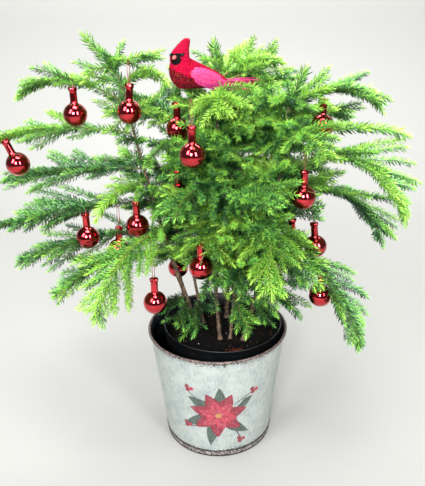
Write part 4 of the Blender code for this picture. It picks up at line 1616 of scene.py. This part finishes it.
# %% [markdown]
# ## Wings
# The wings are flat bundles of dyed feather, pinned to the flanks: a ribbed oval with
# frayed fibres along its edges, over a longer and darker one. Each follows the body's
# own width from shoulder to tip.
# %% Wings
PINK = Finish("pink_feather", paint(204, 34, 104), 0.7, Specular_IOR_Level=0.2)
PINK.flecked(PINK.grain(0.8 * MM, 5.0, 0.7), 0.5, 0.2, paint(186, 22, 84), paint(218, 84, 138))
DEEP_PINK = Finish("deep_pink_feather", paint(176, 26, 104), 0.65)
dye = DEEP_PINK.grain(0.8 * MM, 5.0, 0.7)
DEEP_PINK.flecked(dye, 0.5, 0.2, paint(140, 16, 76), paint(212, 58, 140))
Wing = namedtuple("Wing", "shoulder tip half_depth drop lift")
UPPER_WING = Wing(12, -40, 8.4, 1.2, 1.2)
UNDER_WING = Wing(8, -48, 7.2, 4.8, 0.5)
WING_ROWS = 30
WING_SPAN = 17
SHOULDER_HEIGHT = 19
WING_FALL = 10.5
HUG = 3.2


def flank(x):
    """Half the body's width at a place along it, in millimetres."""
    places = [oval.forward for oval in BIRD_SECTIONS]
    widths = [oval.half_width for oval in BIRD_SECTIONS]
    return np.interp(x, places, widths)


def wing_depth(share):
    """A wing's outline, from 0 at the shoulder through 1 to 0 at the tip."""
    return np.sin(pi * np.minimum(1, share * 0.97 + 0.03) ** 0.62) ** 0.8


def wing_blade(hand, wing):
    """A ribbed oval blade along one flank, from shoulder to tip."""
    across = np.linspace(-1, 1, WING_SPAN)
    rib = 0.35 * np.cos(across * 13)
    rings = []
    for share in np.linspace(0, 1, WING_ROWS):
        x = wing.shoulder + (wing.tip - wing.shoulder) * share
        height = SHOULDER_HEIGHT - WING_FALL * share - wing.drop
        half = wing.half_depth * max(0.06, wing_depth(share))
        out = hand * (flank(x) + wing.lift + rib - HUG * across**2)
        outer = np.stack([np.full(WING_SPAN, x), out, height + half * across], -1)
        inner = outer[::-1] - (0, hand * 1.0, 0)
        rings.append(np.concatenate([outer, inner]))
    points, corners = skin(np.array(rings) * MM)
    return set_down(points), corners


def wing_barbs(hand, wing, count, chance):
    """Where loose barbs start along the lower edge and the tip, and which way they go."""
    share = chance.uniform(0.25, 1.0, count)
    x = wing.shoulder + (wing.tip - wing.shoulder) * share
    half = wing.half_depth * np.maximum(0.105, wing_depth(share))
    edge_at = np.where(chance.uniform(0, 1, count) < 0.7, -1.0, chance.uniform(-1, 1, count))
    out = hand * (flank(x) + wing.lift - HUG * edge_at**2 - 0.4)
    height = SHOULDER_HEIGHT - WING_FALL * share - wing.drop + half * edge_at * 0.95
    ways = np.array((-1.0, 0.0, -0.18)) + chance.normal(0, 0.16, (count, 3))
    return set_down(np.stack([x, out, height], -1) * MM), set_down(unit(ways), place=0)


upper, lower, frayed = [], [], []
for hand in (1, -1):
    upper.append(wing_blade(hand, UPPER_WING))
    lower.append(wing_blade(hand, UNDER_WING))
    frayed.append(wing_barbs(hand, UPPER_WING, 260, chance))
    frayed.append(wing_barbs(hand, UNDER_WING, 320, chance))
build("bird_wings", *gather(upper), [PINK], "needles")
build("bird_under_wings", *gather(lower), [DEEP_PINK], "needles")
bases, ways = (np.concatenate(part) for part in zip(*frayed))
fray = hairs(bases, ways, chance.uniform(3, 8, len(bases)) * MM, 0.4 * MM, chance)
tints = chance.integers(0, 2, len(bases))
build("bird_barbs", *fray, [PINK, DEEP_PINK], "needles", marks=tints)

# %% [markdown]
# ## Tail
# The tail is a few loose strands in two groups, one high and long, one low and shorter.
# Each strand carries some fuzz of its own.
# %% Tail
STRANDS = 12
STRAND_POINTS = 12
FUZZ = 26
HIGH_TIP = np.array((-66, 3.5, 11.5))
LOW_TIP = np.array((-59, 1.5, 1.5))
strands = []
for k in range(STRANDS):
    share = np.linspace(0, 1, STRAND_POINTS)[:, None]
    high = k % 2
    tip = (HIGH_TIP if high else LOW_TIP) + chance.normal(0, 1, 3) * (3, 2.2, 1.6)
    foot = np.array((-28, chance.uniform(-3, 3), 11 if high else 9))
    arch = np.array((0, 0, 1.6)) * np.sin(pi * share) * chance.uniform(-0.6, 1)
    line = foot + (tip - foot) * share + arch
    strands.append(tube(set_down(line * MM), np.linspace(1.1, 0.4, STRAND_POINTS) * MM, 5))
    fuzzy = chance.integers(2, STRAND_POINTS, FUZZ)
    ways = unit(np.array((-1.0, 0, 0)) + chance.normal(0, 0.32, (FUZZ, 3)))
    starts = set_down(line[fuzzy] * MM)
    lengths = np.full(FUZZ, 4 * MM)
    strands.append(hairs(starts, set_down(ways, place=0), lengths, 0.3 * MM, chance))
build("bird_tail", *gather(strands), [PINK], "needles")

# %% [markdown]
# ## Beak and eyes
# The beak is a short tapering cone that dips at its point. The eyes are two black beads,
# half sunk into the mask.
# %% Bird face
BEAK = Finish("beak", paint(196, 70, 66), 0.5)
BEAK.flecked(BEAK.grain(1.5 * MM), 0.5, 0.2, paint(178, 54, 54), paint(212, 98, 88))
BEAD = Finish("eye_bead", paint(6, 6, 8), 0.2)
BEAD.roughness(0.06 + BEAD.grain(1.0 * MM) * 0.08)
BEAK_LINE = ((8.0, 0, 0.2), (10, 0, -0.2), (11.8, 0, -0.9), (13.4, 0, -2.0))
BEAK_RADII = (2.4, 2.0, 1.2, 0.2)
EYE_RADIUS = 1.3
EYE_SIDES = 14


def bead(radius, sides):
    """A round bead whose hole lies along X, in millimetres."""
    turn = np.linspace(0, 2 * pi, sides, endpoint=False)
    rings = []
    for lift in np.radians(np.linspace(-80, 80, 9)):
        x, reach = radius * sin(lift), radius * cos(lift)
        rings.append(np.stack([np.full(sides, x), reach * np.cos(turn), reach * np.sin(turn)], -1))
    return skin(np.array(rings) * MM)


beak_line = head_to_world(np.array(BEAK_LINE) * MM)
build("bird_beak", *tube(beak_line, np.array(BEAK_RADII) * MM, 12), [BEAK], "needles")
eyes = []
for hand in (1, -1):
    points, corners = bead(EYE_RADIUS, EYE_SIDES)
    eyes.append((head_to_world(points + np.array((6.2, hand * 6.6, 2.2)) * MM), corners))
weld(build("bird_eyes", *gather(eyes), [BEAD], "needles"))

# %% [markdown]
# ## Glitter
# Specks of gold glitter stick to the breast. They are scattered over a coarser copy of
# the body's skin, a little proud of it.
# %% Glitter
GLITTER = Finish("gold_glitter", paint(236, 196, 96), 0.25, 0.9)
GLITTER.roughness(0.2 + GLITTER.grain(0.6 * MM) * 0.3)
SPECKS = 60
SPECK_SIZE = 0.28 * MM
BREAST_TOP = 458 * MM
shell, shell_normals, _ = melted("glitter_draft", lofts, 2.0 * MM, 4)
breast = (picked_up(shell)[:, 0] > 10 * MM) & (shell[:, 2] < BREAST_TOP)
front = np.nonzero(breast)[0]
specks = front[chance.integers(0, len(front), SPECKS)]
places = shell[specks] + shell_normals[specks] * 0.9 * MM
flakes = pebbles(places, np.full((SPECKS, 3), SPECK_SIZE), chance)
build("bird_glitter", *flakes, [GLITTER], "needles", smooth=False)

# %% [markdown]
# ## Perch wire
# A wire under the belly runs down to the nearest twig and winds round it three times.
# %% Perch wire
WIRE = Finish("perch_wire", paint(70, 66, 60), 0.35, 0.9)
WIRE.roughness(0.3 + WIRE.grain(1.0 * MM) * 0.2)
WIRE_RADIUS = 0.35 * MM
COIL_RADIUS = 1.2 * MM
COIL_RISE = 0.22 * MM
belly = set_down([(3 * MM, 0, 1.5 * MM)])[0]
below = hooks[(hooks[:, 2] < belly[2] - 4 * MM) & (hooks[:, 2] > belly[2] - 30 * MM)]
perch = below[np.argmin(np.linalg.norm((below - belly) * (1, 1, 0.3), axis=1))]
drop_line = belly + (perch + UP * COIL_RADIUS - belly) * np.linspace(0, 1, 10)[:, None]
turns = np.linspace(pi / 2, 6.5 * pi, 40)
along = (turns - turns[0]) * COIL_RISE
coil = np.stack([along, COIL_RADIUS * np.cos(turns), COIL_RADIUS * np.sin(turns)], -1) + perch
wire_line = np.concatenate([drop_line, coil[1:]])
build("bird_wire", *tube(wire_line, np.full(len(wire_line), WIRE_RADIUS), 6), [WIRE], "needles")
print("perch", round(float(np.linalg.norm(perch - belly)) / MM, 1), "mm below the belly")
